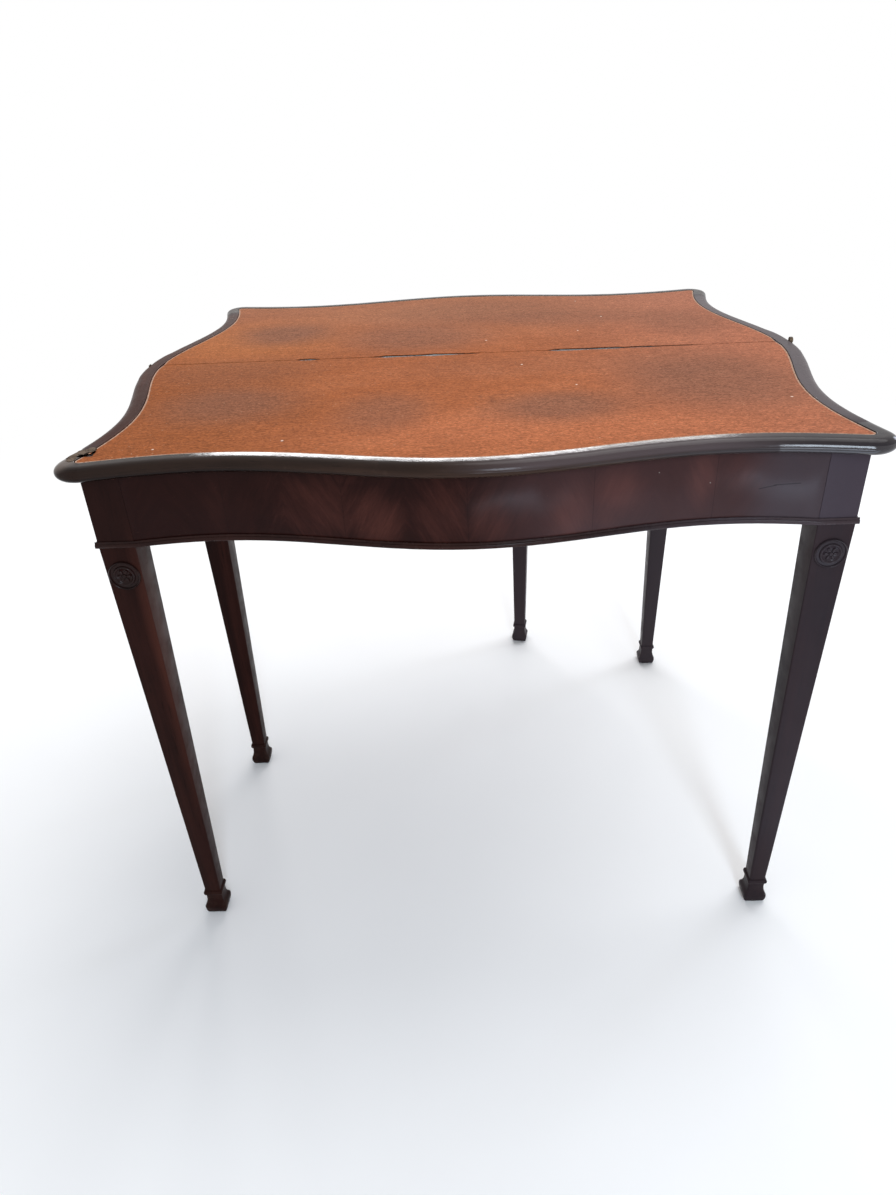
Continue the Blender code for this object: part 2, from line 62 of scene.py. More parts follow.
# Light
sky_strength = 0.5
sky_colour = (0.97, 0.98, 1.0, 1.0)
backdrop_colour = (1.0, 1.0, 1.0, 1.0)
sun_strength = 1.15
sun_tilt = (math.radians(-24), math.radians(20))
sun_spread = math.radians(40)
floor_size = 40.0
floor_drop = 0.0005
floor_fade = (1.3, 2.6)
lamps = (
    ("back_window", (1.89, 0.34), (-0.305, 2.6, 1.84), (0, 0, 0.74), 38.0, (0.98, 0.97, 0.98)),
    ("back_window_edge", (0.6, 0.34), (0.94, 2.6, 1.84), (0, 0, 0.74), 5.0, (1.0, 0.98, 0.96)),
    ("front_window", (0.6, 1.7), (0.64, -3.4, 2.3), (0.2, -0.44, 0.72), 54.0, (0.76, 0.87, 1.0)),
    ("right_window", (0.6, 0.9), (2.6, 1.5, 1.3), (0.45, -0.3, 0.73), 9.0, (0.78, 0.86, 1.0)),
)
glow_height = 0.002
floor_glows = (
    ("apron_glow", (0.4, 1.3), (0.6, -2.25, glow_height), 7.0, 9.0, (0.74, 0.84, 1.0)),
    ("nose_glow", (0.26, 0.34), (0.6, -2.52, glow_height), 0.0, 9.0, (0.62, 0.78, 1.0)),
    ("bulge_glow", (0.36, 0.5), (0.23, -2.45, glow_height), 0.0, 9.0, (0.8, 0.86, 1.0)),
    ("leg_glow", (0.3, 1.4), (0.77, -1.14, glow_height), 25.9, 2.2, (0.62, 0.78, 1.0)),
)

# Sizes of the open top
top_low, top_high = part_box("front_lipping")
board_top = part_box("front_leaf_board")[1].z
baize_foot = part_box("front_baize")[0].z
top_height = top_high.z
leaf_thickness = top_high.z - top_low.z
leaf_depth = -top_low.y
seam_half_width = 0.484
side_wave = 0.0225
side_wave_length = 0.55
front_wave = 0.0215
front_wave_length = 0.585
tip_radius = 0.03
lipping_width = 0.026
rim_width = 0.0228
seam_gap = 0.0003

# Sizes of a leg
leg_low, leg_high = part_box("front_right_leg")
leg_width = leg_high.x - leg_low.x
frame_top = leg_high.z
frame_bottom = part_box("front_bead")[0].z
ankle_width = 0.0236
ankle_height = 0.043
collar_width = 0.0282
collar_height = 0.0075
neck_width = 0.024
spade_width = 0.0324
spade_height = 0.013
spade_band = 0.0055
sole_width = 0.03
sole_edge_height = 0.002
arris = 0.0012
head_arris = 0.0004
collar_arris = 0.0022
foot_arris = 0.003
foot_wear = 0.0007
notch_shoulder = 0.0015

# Sizes of other pieces
soft_edge = 0.0005
baize_cell = 0.008
baize_rim = 0.0019
baize_relief = 0.00022
seam_wear = 0.0058
baize_groove = 0.0009
overrun = 0.01


def smooth_step(value, low, high):
    share = min(max((value - low) / (high - low), 0.0), 1.0)
    return share * share * (3 - 2 * share)


# Shader helpers

all_depth = 9.0


def put(tree, kind, inputs, **settings):
    """A new node, with numbers or other nodes' sockets on its inputs."""
    node = tree.nodes.new("ShaderNode" + kind)
    for name, value in settings.items():
        setattr(node, name, value)
    for socket, value in inputs.items():
        if isinstance(value, bpy.types.NodeSocket):
            tree.links.new(value, node.inputs[socket])
        else:
            node.inputs[socket].default_value = value
    return node


def full_colour(thousandths):
    return (*(part / 1000 for part in thousandths), 1.0)


class Look:
    """A material, put together call by call, with places in metres and colours in thousandths."""

    def __init__(self, name, roughness, specular, metallic=0.0, place="Object"):
        self.material = bpy.data.materials.new(name)
        self.material.use_nodes = True
        self.tree = self.material.node_tree
        self.surface = self.tree.nodes["Principled BSDF"]
        self.surface.inputs["Roughness"].default_value = roughness
        self.surface.inputs["Specular IOR Level"].default_value = specular
        self.surface.inputs["Metallic"].default_value = metallic
        self.colour = self.gloss = self.normal = None
        self.read_at(place)

    def read_at(self, place):
        """From here on, read noise and spots at Object places or at the grain's UV places."""
        self.place = self.tree.nodes.new("ShaderNodeTexCoord").outputs[place]

    def put(self, kind, inputs, **settings):
        return put(self.tree, kind, inputs, **settings)

    def noise(self, scale, detail=4.0, roughness=0.55, distortion=0.0, place=None):
        """Noise of one scale, or of three, drawn out along the axes with a small one."""
        if place is None:
            place = self.place
        if isinstance(scale, (tuple, list)):
            place = self.put("Mapping", {"Vector": place, "Scale": scale}).outputs["Vector"]
            scale = 1.0
        inputs = {"Vector": place, "Scale": scale, "Detail": detail, "Roughness": roughness,
                  "Distortion": distortion}
        return self.put("TexNoise", inputs).outputs["Fac"]

    def span(self, value, low, high, to_low=0.0, to_high=1.0):
        """The value, read smoothly from one range into another."""
        inputs = {"Value": value, "From Min": low, "From Max": high, "To Min": to_low, "To Max": to_high}
        return self.put("MapRange", inputs, interpolation_type="SMOOTHSTEP").outputs["Result"]

    def axis(self, name):
        """How far a place lies from the origin along one axis."""
        place = self.tree.nodes.new("ShaderNodeTexCoord").outputs["Object"]
        return self.put("SeparateXYZ", {"Vector": place}).outputs[name]

    def along(self, axis, low, high):
        """A mask that rises from 0 to 1 between two places on an axis."""
        return self.span(self.axis(axis), low, high)

    def maths(self, operation, first, second=0.0):
        return self.put("Math", {0: first, 1: second}, operation=operation).outputs["Value"]

    def times(self, first, second):
        return self.maths("MULTIPLY", first, second)

    def vector(self, operation, first, second=(0.0, 0.0, 0.0)):
        node = self.put("VectorMath", {0: first, 1: second}, operation=operation)
        return node.outputs["Value" if operation == "LENGTH" else "Vector"]

    def ramp(self, value, stops):
        """Start the look's colour, read along stops of (place, colour)."""
        node = self.put("ValToRGB", {"Fac": value})
        elements = node.color_ramp.elements
        while len(elements) < len(stops):
            elements.new(0.5)
        for element, (place, colour) in zip(elements, stops):
            element.position = place
            element.color = full_colour(colour)
        self.colour = node.outputs["Color"]

    def tint(self, over, share, strength=1.0, mode="MIX"):
        """Lay a colour or a grey over the look's, as much as share times strength says."""
        if strength != 1.0:
            share = self.times(share, strength)
        if not isinstance(over, bpy.types.NodeSocket):
            over = full_colour(over)
        inputs = {0: share, 6: self.colour, 7: over}
        self.colour = self.put("Mix", inputs, data_type="RGBA", blend_type=mode).outputs[2]

    def spot(self, middle, radii, soft, ragged=0.0):
        """A mask that is 1 inside an ellipsoid and fades out at its edge."""
        place = self.place
        if ragged:
            wobble = self.put("TexNoise", {"Vector": place, "Scale": 0.35 / min(radii), "Detail": 3.0})
            moved = self.vector("SUBTRACT", wobble.outputs["Color"], (0.5, 0.5, 0.5))
            moved = self.vector("MULTIPLY", moved, [2 * ragged * radius for radius in radii])
            place = self.vector("ADD", place, moved)
        aside = self.vector("DIVIDE", self.vector("SUBTRACT", place, middle), radii)
        return self.span(self.vector("LENGTH", aside), 1.0 - soft, 1.0 + soft, 1.0, 0.0)

    def top_spot(self, middle, radii, soft, ragged=0.0):
        """A spot on the table's top, given in plan."""
        return self.spot((*middle, top_height), (*radii, 1.0), soft, ragged)

    def front_spot(self, middle, radii, soft):
        """A spot seen from the front, right through the table."""
        (x, z), (wide, tall) = middle, radii
        return self.spot((x, 0.0, z), (wide, all_depth, tall), soft)

    def bump(self, height, distance):
        inputs = {"Height": height, "Distance": distance, "Strength": 1.0}
        if self.normal is not None:
            inputs["Normal"] = self.normal
        self.normal = self.put("Bump", inputs).outputs["Normal"]

    def finish(self):
        """The material. Without gloss, its roughness is even."""
        results = {"Base Color": self.colour, "Roughness": self.gloss, "Normal": self.normal}
        for name, value in results.items():
            if value is not None:
                self.tree.links.new(value, self.surface.inputs[name])
        return self.material


# Cloth materials

stain_places = (
    ((-0.303, 0.171), (0.075, 0.075), 0.95),
    ((-0.079, 0.114), (0.105, 0.082), 0.7),
    ((-0.308, -0.218), (0.085, 0.075), 0.75),
    ((-0.335, -0.053), (0.11, 0.07), 0.35),
    ((-0.105, -0.264), (0.055, 0.068), 0.6),
    ((0.111, -0.268), (0.08, 0.056), 0.85),
    ((0.32, -0.18), (0.105, 0.11), 0.8),
    ((0.3, -0.08), (0.1, 0.07), 0.3),
    ((0.016, 0.29), (0.17, 0.09), 0.55),
    ((0.185, 0.22), (0.11, 0.06), 0.5),
    ((0.35, 0.16), (0.07, 0.08), 0.55),
    ((0.06, -0.08), (0.16, 0.05), 0.25),
)
tint_places = (
    ((-0.36, 0.13), (0.13, 0.11), 0.75, (440, 150, 50)),
    ((-0.1, 0.3), (0.15, 0.06), 0.45, (450, 180, 85)),
    ((0.11, -0.35), (0.24, 0.07), 0.65, (510, 166, 73)),
)
mark_places = (
    ((0.03, -0.236), (0.004, 0.016)),
    ((0.016, -0.222), (0.003, 0.011)),
    ((0.044, -0.214), (0.01, 0.003)),
)
speck_places = ((0.181, 0.118), (0.032, 0.076), (0.078, -0.074), (0.3915, -0.266), (-0.2127, -0.358),
                (0.2325, 0.214), (0.142, -0.182), (-0.357, -0.372), (0.205, 0.35))
speck_radius = 0.0014


def stain_and_paint_light_on_baize(look):
    """Painted light on the cloth, with tinted and stained places and a few rubbed marks: a painted sheen to the
    rear, painted cool light to the right and painted shade to the left, partly the cloth's own tone.
    """
    # Painted sheen: the cloth is greyer towards the rear.
    look.tint((318, 138, 79), look.along("Y", -0.1, 0.42), 0.65)
    # Painted cool light: the cloth is bluer to the right.
    look.tint((440, 174, 112), look.along("X", 0.05, 0.42), 0.55)
    # Painted shade, partly the cloth's own tone: the cloth is darker to the front left.
    left = look.times(look.along("X", -0.05, -0.34), look.along("Y", 0.14, -0.06))
    look.tint((300, 90, 28), left, 0.72)
    for middle, radii, strength, tint in tint_places:
        look.tint(tint, look.top_spot(middle, radii, 0.9), strength)
    for middle, radii, strength in stain_places:
        look.tint((235, 102, 62), look.top_spot(middle, radii, 0.62, 0.3), strength * 0.85)
    for middle, radii in mark_places:
        look.tint((200, 70, 34), look.top_spot(middle, radii, 0.7, 0.7), 0.45)


def baize_look():
    """Worn woollen cloth, with its weave, specks and lint."""
    look = Look("worn_baize", roughness=0.95, specular=0.04)
    look.surface.inputs["Sheen Weight"].default_value = 0.02
    look.surface.inputs["Sheen Roughness"].default_value = 0.6
    look.surface.inputs["Sheen Tint"].default_value = (0.95, 0.75, 0.62, 1.0)
    cloudy = look.noise((7, 11, 1), detail=6.0, roughness=0.62)
    look.ramp(cloudy, ((0.28, (332, 97, 33)), (0.5, (398, 120, 43)),
                       (0.74, (465, 151, 60))))
    stain_and_paint_light_on_baize(look)
    fibres = look.noise((300, 700, 40), detail=4.0, roughness=0.75)
    weave = look.noise((45, 300, 20), detail=3.0, roughness=0.6, distortion=0.5)
    shade = look.times(look.span(fibres, 0.34, 0.68, 0.58, 1.4), look.span(weave, 0.3, 0.7, 0.88, 1.12))
    look.tint(shade, 1.0, mode="MULTIPLY")
    for place in speck_places:
        look.tint((860, 740, 620), look.top_spot(place, (speck_radius, speck_radius), 0.4, 0.9))
    lint = look.noise((240, 240, 40), detail=2.0)
    look.tint((720, 420, 250), look.span(lint, 0.7, 0.76, 0.0, 0.5))
    look.bump(fibres, 0.0006)
    look.bump(look.noise((45, 60, 10), detail=3.0), 0.001)
    look.gloss = look.span(weave, 0.3, 0.7, 0.9, 0.98)
    return look.finish()


def baize_edge_look():
    """The pale, fuzzy cut edge of the cloth."""
    look = Look("baize_cut_edge", roughness=0.9, specular=0.1)
    fuzz = look.noise(380, detail=3.0)
    look.ramp(fuzz, ((0.34, (300, 145, 85)), (0.62, (560, 370, 270))))
    look.bump(fuzz, 0.0005)
    return look.finish()


# Plain woods

grain_scales = {"X": (2.2, 34, 34), "Y": (34, 2.2, 34), "Z": (34, 34, 2.2)}
pore_fineness = 9
pore_relief = 0.00008
wear_relief = 0.00012
head_edge = (frame_bottom - 0.001, frame_bottom + 0.001)
# Painted warm highlights on the inner face of the front left leg.
painted_highlight_red = (90, 27, 17)
painted_highlight_places = (
    ((-0.3905, -0.408, 0.51), (0.0085, 0.03, 0.1), 0.38),
    ((-0.395, -0.408, 0.33), (0.0075, 0.03, 0.1), 0.16),
)


def wood_look(name, dark, light, along, roughness, specular, fine=1.0, place="Object"):
    """Straight-grained polished wood. Along is the axis that its grain follows."""
    look = Look(name, roughness, specular, place=place)
    across = [fine * share for share in grain_scales[along]]
    streaks = look.noise(across, detail=6.0, roughness=0.62, distortion=0.35)
    pores = look.noise([pore_fineness * share for share in across], detail=4.0, roughness=0.7)
    cloud = look.noise(7.0, detail=3.0)
    tone = look.maths("ADD", look.times(streaks, 0.72), look.times(cloud, 0.28))
    middle = [(first + second) / 2 for first, second in zip(dark, light)]
    look.ramp(tone, ((0.34, dark), (0.5, middle), (0.66, light)))
    look.tint([value * 0.35 for value in dark], look.span(pores, 0.56, 0.7, 0.0, 0.55))
    wear = look.noise(38.0, detail=5.0, roughness=0.65)
    look.gloss = look.span(wear, 0.3, 0.75, roughness * 0.8, roughness * 1.35)
    look.bump(pores, pore_relief)
    look.bump(wear, wear_relief)
    return look


def plain_wood(name, dark, light, along, roughness, specular, fine=1.0, right_sheen=None):
    """Straight-grained wood, with a painted sheen to the right if a colour is given for it."""
    look = wood_look(name, dark, light, along, roughness, specular, fine)
    if right_sheen:
        # Painted sheen: tinted towards the given colour to the right.
        look.tint(right_sheen, look.along("X", 0.05, 0.36), 0.65)
    return look.finish()


def board_look():
    """Evenly polished board wood, its top painted near black as painted shade, which shows in the gap at the
    cloths' seam.
    """
    look = wood_look("board_wood", (34, 12, 7.5), (110, 43, 25), "X", 0.42, 0.07)
    look.gloss = None
    # Painted shade: the board's top, under the cloth and in the seam gap, is painted near black.
    look.tint((6, 4, 3.5), look.along("Z", board_top - 0.0006, board_top - 0.0002))
    return look.finish()


def leg_look():
    """Dark wood with rubbed feet and a painted warm highlight on one inner face, greyer at the back and with a
    painted bluish sheen on the right.
    """
    look = wood_look("leg_wood", (4.5, 1.6, 1.5), (27, 7.8, 5.6), "Z", 0.36, 0.045)
    head = look.along("Z", *head_edge)
    look.tint((12, 4.8, 4.2), head, 0.55)
    foot = look.along("Z", ankle_height * 1.6, 0.0)
    scuffs = look.span(look.noise(70.0, detail=5.0, roughness=0.7), 0.42, 0.66)
    look.tint((55, 28, 21), look.times(foot, scuffs), 0.6)
    look.tint((12, 8, 7.5), foot, 0.35)
    # Painted sheen: the legs on the right are tinted bluish grey.
    painted_sheen_right = look.along("X", 0.25, 0.38)
    look.tint((30, 24, 29), painted_sheen_right, 0.6)
    # Greyer towards the back.
    look.tint((54, 43, 49), look.along("Y", 0.0, 0.15), 0.65)
    # Painted sheen on the heads of the legs on the right.
    look.tint((58, 45, 56), look.times(painted_sheen_right, head), 0.7)
    # Painted highlights on the inner face of the front left leg.
    for middle, radii, strength in painted_highlight_places:
        look.tint(painted_highlight_red, look.spot(middle, radii, soft=0.85, ragged=0.1), strength)
    return look.finish()


# Veneer

veneer_seam = 0.1335
veneer_leaf = 0.069
flame_lean = 0.52
flame_climb = 0.5
glow_places = (
    ((-0.29, 0.672), (0.012, 0.04), 0.28),
    ((-0.228, 0.706), (0.014, 0.016), 0.12),
    ((-0.172, 0.676), (0.045, 0.036), 0.5),
    ((-0.105, 0.665), (0.03, 0.03), 0.72),
    ((-0.032, 0.674), (0.03, 0.042), 0.45),
    ((0.02, 0.665), (0.022, 0.03), 0.5),
    ((0.108, 0.664), (0.022, 0.034), 1.0),
    ((0.162, 0.684), (0.026, 0.026), 1.0),
    ((0.15, 0.66), (0.012, 0.022), 0.7),
    ((0.256, 0.69), (0.014, 0.034), 0.95),
    ((0.3, 0.694), (0.018, 0.02), 0.55),
)
chip_places = ((0.2653, 0.6842), (0.2061, 0.7014))
chip_radius = 0.0005
scratch_places = (
    ((0.329, 0.677), (0.0085, 0.00035), 0.25),
    ((0.3495, 0.6807), (0.0125, 0.00035), 0.1),
)


def shade_redden_and_sheen_front(look):
    """Paint shade on the front apron's left end, redden its middle and paint a bluish sheen on its right end."""
    # Painted shade on the left end.
    look.tint((14, 3.6, 2.9), look.along("X", -0.2, -0.28), 0.6)
    look.tint((68, 33, 33), look.along("X", -0.03, 0.1), 0.5)
    # Painted sheen: the right end is tinted bluish grey.
    look.tint((52, 45.5, 54), look.along("X", 0.29, 0.35), 0.58)


def mark_front(look):
    """Chip and scratch the front apron."""
    for place in chip_places:
        look.tint((500, 440, 400), look.front_spot(place, (chip_radius, chip_radius), 0.3), 0.6)
    for (x, z), (reach, thickness), lean in scratch_places:
        level = look.maths("SUBTRACT", look.axis("Z"), z)
        aside = look.maths("SUBTRACT", look.axis("X"), x)
        off_line = look.maths("SUBTRACT", level, look.times(aside, lean))
        line = look.span(look.maths("ABSOLUTE", off_line), thickness, thickness * 2, 0.65, 0.0)
        ends = look.span(look.maths("ABSOLUTE", aside), reach, reach * 1.2, 1.0, 0.0)
        look.tint((6, 4, 5), look.times(line, ends))


def veneer_look(name, along):
    """Flame-figured veneer: matched leaves that fan out from each seam. Along is X or Y."""
    look = Look(name, roughness=0.26, specular=0.07)
    shifted = look.maths("SUBTRACT", look.axis(along), veneer_seam)
    folded = look.maths("PINGPONG", shifted, veneer_leaf)
    height = look.maths("SUBTRACT", look.axis("Z"), frame_bottom)
    leaned = look.maths("SUBTRACT", folded, look.times(height, flame_lean))
    climbed = look.maths("ADD", height, look.times(folded, flame_climb))
    leaf_place = look.put("CombineXYZ", {0: leaned, 1: climbed, 2: shifted}).outputs[0]
    feathers = look.noise((75, 11, 5), detail=5.0, roughness=0.6, distortion=0.8, place=leaf_place)
    barbs = look.noise((380, 60, 20), detail=4.0, roughness=0.7, distortion=0.4, place=leaf_place)
    glow = look.span(look.noise((9, 9, 12), detail=3.0, distortion=0.4), 0.5, 0.75, 0.0, 0.35)
    if along == "X":
        for middle, radii, strength in glow_places:
            spot = look.times(look.front_spot(middle, radii, 0.75), strength)
            glow = look.maths("MAXIMUM", glow, spot)
    tone = look.maths("ADD", look.times(glow, 0.3), look.times(barbs, 0.16))
    tone = look.maths("ADD", look.times(feathers, 0.28), tone)
    look.ramp(tone, ((0.17, (10, 2.6, 2.2)), (0.27, (18, 4.8, 3.8)),
                     (0.41, (40, 11.5, 8.5)), (0.6, (88, 27, 19.5))))
    if along == "X":
        shade_redden_and_sheen_front(look)
    look.tint((5, 2, 2), look.span(folded, 0.0, 0.0005, 0.45, 0.0))
    scratches = look.noise((140, 140, 520), detail=2.0, distortion=1.5)
    look.tint((100, 50, 35), look.span(scratches, 0.73, 0.76, 0.0, 0.3))
    if along == "X":
        mark_front(look)
    look.gloss = look.span(look.noise(30.0, detail=5.0, roughness=0.6), 0.3, 0.75, 0.24, 0.27)
    look.bump(barbs, 0.00004)
    look.bump(look.noise((26, 26, 9), detail=2.0), wear_relief)
    return look.finish()


# Edge mouldings and metal


def paint_light_and_wear_front_edge(look):
    """Paint shade on the front edge to the left and under its nose towards the left, rub its left tip and paint a
    sheen on the upper part of its nose.
    """
    # Painted shade: darker to the left.
    look.tint((7, 3.6, 3), look.along("X", -0.2, -0.4), 0.55)
    # Painted shade under the nose, towards the left.
    below = look.along("Z", top_height - 0.009, top_height - 0.013)
    look.tint((5, 1.8, 1.5), look.times(below, look.along("X", 0.05, -0.3)), 0.8)
    tip = look.spot((-0.454, -0.404, top_height), (0.02, 0.02, 0.006), soft=0.5, ragged=0.6)
    look.tint((160, 115, 92), tip, 0.65)
    # Painted sheen on the upper part of the nose, right of the middle.
    nose = look.along("Z", top_height - 0.011, top_height - 0.0055)
    painted_nose_sheen = look.front_spot((0.165, 0.0), (0.15, all_depth), 0.45)
    look.tint((105, 80, 84), look.times(painted_nose_sheen, nose), 0.6)


def edge_look(name, dark, light, roughness, specular, right_sheen, tip=None, front=False, ends=None):
    """Polished edge moulding with rubbed places, with a painted sheen to the right, a painted highlight at its tip
    and greyer at its ends.
    """
    look = wood_look(name, dark, light, "X", roughness, specular, 1.2, "UV")
    look.read_at("Object")
    rubbed = look.noise(16.0, detail=6.0, roughness=0.7)
    look.tint((60, 33, 24), look.span(rubbed, 0.58, 0.72, 0.0, 0.4))
    # Painted sheen: the moulding is tinted bluish grey to the right.
    look.tint(right_sheen, look.along("X", 0.1, 0.42), 0.65)
    if tip:
        # Painted highlight at the tip.
        look.tint(tip, look.along("X", 0.448, 0.476), 0.8)
    if ends:
        # Towards the tips, the side mouldings turn a darker grey.
        look.tint(ends, look.span(look.maths("ABSOLUTE", look.axis("Y")), 0.325, 0.38), 0.75)
    if front:
        paint_light_and_wear_front_edge(look)
    scuffs = look.noise((60, 60, 420), detail=3.0)
    look.tint((120, 80, 65), look.span(scuffs, 0.72, 0.78, 0.0, 0.3))
    look.bump(look.noise(55.0, detail=2.0), 0.00022)
    return look.finish()


def metal_look(name, bright, dull, roughness):
    look = Look(name, roughness, specular=0.4, metallic=0.7)
    tarnish = look.noise(160.0, detail=5.0, roughness=0.65)
    look.ramp(tarnish, ((0.38, dull), (0.66, bright)))
    look.gloss = look.span(tarnish, 0.3, 0.7, roughness * 1.4, roughness * 0.8)
    look.bump(tarnish, 0.0002)
    return look.finish()


edge_wood = (11, 6, 4.2), (40, 20.5, 13.5)
# Painted sheen to the right of the edge mouldings.
edge_right_sheen = (34, 31, 36)
bead_wood = (9, 3.2, 2.8), (34, 11.5, 8.5)
inner_wood = (85, 42, 22), (200, 110, 60)
looks = {
    "baize": baize_look(),
    "baize_cut": baize_edge_look(),
    "leaf_board": board_look(),
    "leaf_edge": edge_look("polished_edge", *edge_wood, 0.12, 0.11, edge_right_sheen, front=True),
    # Painted highlight on the front tips.
    "tip_edge": edge_look("polished_edge_tip", *edge_wood, 0.13, 0.09, edge_right_sheen, (200, 165, 165),
                          front=True),
    # Painted reflection: the side mouldings are a lighter, almost glossless copy of the polished edge, pale bluish
    # grey to the right.
    "side_edge": edge_look("polished_edge_side", (33, 13.5, 10.5), (100, 48, 38), 0.24, 0.006,
                           (165, 152, 160), ends=(55, 46, 49)),
    "nose_edge": edge_look("polished_edge_nose", *edge_wood, 0.12, 0.38, edge_right_sheen, front=True),
    "rear_edge": edge_look("polished_edge_rear", (11, 6.2, 4.6), (42, 23, 16), 0.2, 0.03, (40, 34, 36)),
    "bare_wood": plain_wood("bare_wood", (85, 58, 40), (210, 155, 115), "X", 0.85, 0.05, 3.0),
    # Painted shade: the inside of the torn hole is near black.
    "dark_hole": plain_wood("dark_hole", (4, 3, 3), (9, 6, 5), "X", 0.95, 0.0),
    "apron": veneer_look("flame_veneer", "X"),
    "side_apron": veneer_look("flame_veneer_side", "Y"),
    # Painted sheen on the right of the front bead.
    "bead": plain_wood("bead_wood", *bead_wood, "X", 0.26, 0.1, 1.6, (50, 38, 44)),
    "side_bead": plain_wood("bead_wood_side", *bead_wood, "Y", 0.26, 0.1, 1.6),
    "leg": leg_look(),
    # Painted sheen on the right rosette.
    "rosette": plain_wood("rosette_wood", (5, 2.2, 2), (20, 7, 5.8), "X", 0.22, 0.12, 1.0, (34, 27, 33)),
    "inner_wood": plain_wood("inner_wood", *inner_wood, "X", 0.62, 0.25),
    "gate_wood": plain_wood("gate_wood", *inner_wood, "Y", 0.62, 0.25),
    "brass": metal_look("aged_brass", (170, 120, 75), (50, 37, 28), 0.42),
    "iron": metal_look("dull_iron", (200, 190, 180), (70, 60, 55), 0.45),
}


# Building pieces

weld_distance = 0.00001
flat_angle = math.radians(0.4)
sharp_angle = math.radians(32)
slot_of = {entry["node"]: entry["material_slot"] for entry in frame["record"]["subparts"]}
body_of = {name: body for body, names in frame["record"]["behaviour"]["bodies"].items() for name in names}


def dress(piece, *stood_for, look=None):
    """Put a piece in the body of the CAD nodes that it stands for, hide those nodes, and give it a look if one is
    named.
    """
    first = stood_for[0]
    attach(piece, body_of[first])
    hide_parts(*stood_for)
    if look is not None:
        piece.data.materials.clear()
        piece.data.materials.append(looks[look])


def new_object(name, data):
    thing = bpy.data.objects.new(name, data)
    bpy.context.scene.collection.objects.link(thing)
    return thing


def new_piece(name, builder, sharp=None):
    """A piece of a builder's shape, shaded smooth up to an angle if it has one."""
    mesh = bpy.data.meshes.new(name)
    if sharp is not None:
        bmesh.ops.recalc_face_normals(builder, faces=builder.faces)
    builder.to_mesh(mesh)
    builder.free()
    if sharp is not None:
        mesh.shade_smooth()
        mesh.set_sharp_from_angle(angle=sharp)
    return new_object(name, mesh)


def loft(builder, rows):
    """A skin through rings of vertices, closed by a flat face at each end."""
    size = len(rows[0])
    for row, after in zip(rows, rows[1:]):
        for step in range(size):
            other = (step + 1) % size
            builder.faces.new((row[step], after[step], after[other], row[other]))
    builder.faces.new(rows[0])
    builder.faces.new(list(reversed(rows[-1])))


def slice_up(builder, low, high, cell, axes=(0, 1)):
    """Cut a piece into small cells, so it can be given relief."""
    for axis in axes:
        count = round((high[axis] - low[axis]) / cell)
        for step in range(1, count):
            place, across = [0.0] * 3, [0.0] * 3
            place[axis] = low[axis] + (high[axis] - low[axis]) * step / count
            across[axis] = 1.0
            geometry = builder.verts[:] + builder.edges[:] + builder.faces[:]
            bmesh.ops.bisect_plane(builder, geom=geometry, plane_co=place, plane_no=across)


# Pieces that keep the CAD shape and get softened edges


def copied(node):
    """The welded shape of a CAD node, with its flat faces whole again."""
    builder = bmesh.new()
    builder.from_mesh(nodes[node].data)
    bmesh.ops.remove_doubles(builder, verts=builder.verts, dist=weld_distance)
    bmesh.ops.dissolve_limit(builder, angle_limit=flat_angle, verts=builder.verts, edges=builder.edges)
    return builder


def softened(node, look, width=soft_edge):
    """A copy of a CAD node whose sharp edges are rubbed round."""
    piece = new_piece(node + "_soft", copied(node))
    piece.data.shade_smooth()
    bevel = piece.modifiers.new("rubbed_edges", "BEVEL")
    bevel.width = width
    bevel.segments = 2
    bevel.limit_method = "ANGLE"
    bevel.angle_limit = sharp_angle
    bevel.harden_normals = True
    dress(piece, node, look=look)


softened("front_apron", "apron", 0.0002)
softened("front_bead", "bead", 0.0003)
for side in ("left", "right"):
    softened(side + "_apron", "side_apron")
    softened(side + "_bead", "side_bead", 0.0003)
for node in ("back_rail", "right_knuckle_block", "centre_knuckle_block", "front_left_corner_block",
             "front_right_corner_block", "rear_left_corner_block", "rear_right_corner_block"):
    softened(node, "inner_wood")
for node in ("right_gate_rail", "centre_gate_rail"):
    softened(node, "gate_wood")
for node, slot in slot_of.items():
    if slot in ("brass", "iron", "leaf_board"):
        for material_slot in nodes[node].material_slots:
            material_slot.material = looks[slot]


# Outline of a leaf, as in the CAD

tip_search_rounds = 60
side_steps, tip_steps, front_steps = 40, 14, 60


def wave_point(along, inset, reach, wave, wave_length):
    """A point of a wavy edge, moved square inwards, as (place along it, distance out)."""
    slope = -wave * 2 * math.pi / wave_length * math.sin(2 * math.pi * along / wave_length)
    out = reach - wave * (1 - math.cos(2 * math.pi * along / wave_length))
    length = math.hypot(1, slope)
    return along + inset * slope / length, out - inset / length


def side_point(y, inset):
    along, out = wave_point(y, inset, seam_half_width, side_wave, side_wave_length)
    return out, along


def front_point(x, inset):
    return wave_point(x, inset, leaf_depth, front_wave, front_wave_length)


def find_tip():
    """Feet on the side and the front of the arc that rounds the tip."""
    y, x = leaf_depth, seam_half_width
    for _ in range(tip_search_rounds):
        centre_x, reached_y = side_point(y, tip_radius)
        reached_x, centre_y = front_point(x, tip_radius)
        y += centre_y - reached_y
        x += centre_x - reached_x
    return y, x


tip_side_y, tip_front_x = find_tip()


